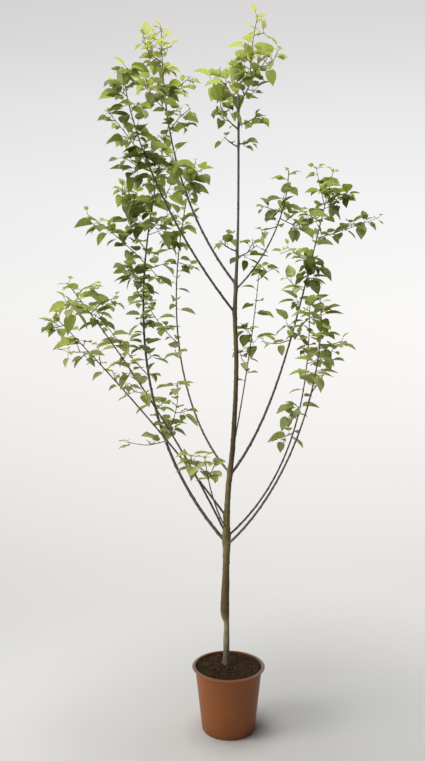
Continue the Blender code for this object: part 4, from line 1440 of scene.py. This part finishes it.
class APRICOT_OT_make_twigs(bpy.types.Operator):
    """Grow the shoots, spurs, twiglets, buds and leaf stalks of every mass"""

    bl_idname = "apricot.make_twigs"
    bl_label = "Twigs"

    def execute(self, context):
        settings = context.scene.apricot_wood
        bark = limb_bark("apricot_twig_bark", settings, 1.0, 0.6)
        stalks = plain_material("leaf_stalks", context.scene.apricot_leaf.stalk, 0.5)
        scales = plain_material("bud_scales", linear("5b3d2e"), 0.6)
        for name, sprays in grown_masses().items():
            form = bmesh.new()
            layer = form.verts.layers.float.new("youth")
            rng = random.Random(LIMBS[name].seed + BUD_STREAM)
            for spray in sprays:
                # A bough's stem is already there, as the end of its limb.
                if spray.kind != "stem" or not LIMBS[name].bare:
                    self.add_twig(form, layer, spray, settings)
            for spray in sprays:
                for leaf in spray.leaves:
                    add_stalk(form, leaf, 1)
                self.add_buds(form, spray, rng)
            bmesh.ops.recalc_face_normals(form, faces=form.faces)
            twigs = finish_piece("twigs_" + name, form, [bark, stalks, scales])
        return {"FINISHED"}

    def add_buds(self, form, spray, rng):
        """A bud at each place where nothing grows, and one at the twig's tip."""
        length = distances_along(spray.points)[-1]
        for bud in spray.buds:
            place, way = path_place(spray.points, bud.distance)
            share = bud.distance / length
            radius = spray.radii[0] + (spray.radii[-1] - spray.radii[0]) * share
            lean = (bud.outward * 0.7 + way).normalized()
            add_bud(form, place + bud.outward * radius * 0.9, lean, 0.0011 * rng.uniform(0.8, 1.4), 2)
        tip, way = path_place(spray.points, length)
        add_bud(form, tip, way, 0.0014, 2)

    def add_twig(self, form, layer, spray, settings):
        """The twig's wood, with its knobs, and its bark younger toward its tip."""
        step, sides = (0.006, 7) if spray.kind in ("stem", "shoot") else (0.004, 5)
        points = smooth_path(spray.points, step)
        along = distances_along(points)
        old = distances_along(spray.points)
        radii = [float(np.interp(distance, old, spray.radii)) for distance in along]
        rings = extrude_wood(form, points, radii, sides)

        def relief(distance, outward, places):
            knobs = knob_relief(distance, outward, spray.buds, settings.knob_height, 0.0035)
            return knobs + 0.08 * grain(places, 300, 1.0)

        press_relief(rings, points, relief)
        youth = {"stem": 0.35, "shoot": 0.45, "spur": 0.3, "twiglet": 0.8}[spray.kind]
        set_youth(layer, rings, [min(1.0, youth + 0.55 * distance / along[-1]) for distance in along])


class APRICOT_OT_make_leaves(bpy.types.Operator):
    """Hang every mass's leaves on its twigs, each spray in its own green"""

    bl_idname = "apricot.make_leaves"
    bl_label = "Leaves"

    def execute(self, context):
        settings = context.scene.apricot_leaf
        rng = random.Random(BLADE_FORM_SEED)
        forms = [blade_form(rng) for _ in range(BLADE_FORMS)]
        materials = []
        for label in ("tip", "fresh", "full", "deep"):
            colour = getattr(settings, label + "_green")
            pale = blended(scaled(colour, 1.15), linear("a9b98a"), 0.35)
            materials.append(leaf_material("leaf_face_" + label, colour, settings.glow, 0.52))
            materials.append(leaf_material("leaf_underside_" + label, pale, settings.glow, 0.62))
        for name, sprays in grown_masses().items():
            form = bmesh.new()
            form.loops.layers.uv.new("blade")
            rng = random.Random(LIMBS[name].seed + BLADE_STREAM)
            usual = settings.blade_size / LIMBS[name].leaf
            for spray in sprays:
                mood = rng.uniform(-SPRAY_MOOD, SPRAY_MOOD)
                for leaf in spray.leaves:
                    size = usual * (1 - NEW_LEAF_SHRINKING * leaf_newness(spray, leaf))
                    if spray.kind == "spur":
                        size *= rng.uniform(*SPUR_BLADE_SIZE)
                    place = blade_frame(leaf, size, settings.level * rng.uniform(0.4, 1.6))
                    add_leaf(form, forms[rng.randrange(BLADE_FORMS)], place, leaf_tint(spray, leaf, mood) * 2)
            leaves = finish_piece("foliage_" + name, form, materials)
            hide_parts("leaves_" + name)
        for mesh in forms:
            bpy.data.meshes.remove(mesh)
        return {"FINISHED"}


class APRICOT_PT_panel(bpy.types.Panel):
    """The tree's settings and the steps that make it"""

    bl_idname = "APRICOT_PT_panel"
    bl_label = "Potted apricot tree"
    bl_space_type = "VIEW_3D"
    bl_region_type = "UI"
    bl_category = "Apricot"

    def draw(self, context):
        for key, group in SETTINGS.items():
            box = self.layout.box()
            settings = getattr(context.scene, key)
            for name in group.__annotations__:
                box.prop(settings, name)
        for operator in STEPS:
            self.layout.operator(operator.bl_idname)


STEPS = (
    APRICOT_OT_make_stage,
    APRICOT_OT_make_pot,
    APRICOT_OT_make_soil,
    APRICOT_OT_make_trunk,
    APRICOT_OT_make_boughs,
    APRICOT_OT_make_twigs,
    APRICOT_OT_make_leaves,
)


def register():
    for kind in (*SETTINGS.values(), *STEPS, APRICOT_PT_panel):
        bpy.utils.register_class(kind)
    for key, group in SETTINGS.items():
        setattr(bpy.types.Scene, key, bpy.props.PointerProperty(type=group))


def unregister():
    for key in SETTINGS:
        delattr(bpy.types.Scene, key)
    for kind in (APRICOT_PT_panel, *reversed(STEPS), *reversed(list(SETTINGS.values()))):
        bpy.utils.unregister_class(kind)


def main():
    register()
    bpy.ops.apricot.make_stage()
    bpy.ops.apricot.make_pot()
    bpy.ops.apricot.make_soil()
    bpy.ops.apricot.make_trunk()
    bpy.ops.apricot.make_boughs()
    bpy.ops.apricot.make_twigs()
    bpy.ops.apricot.make_leaves()


if __name__ == "__main__":
    main()
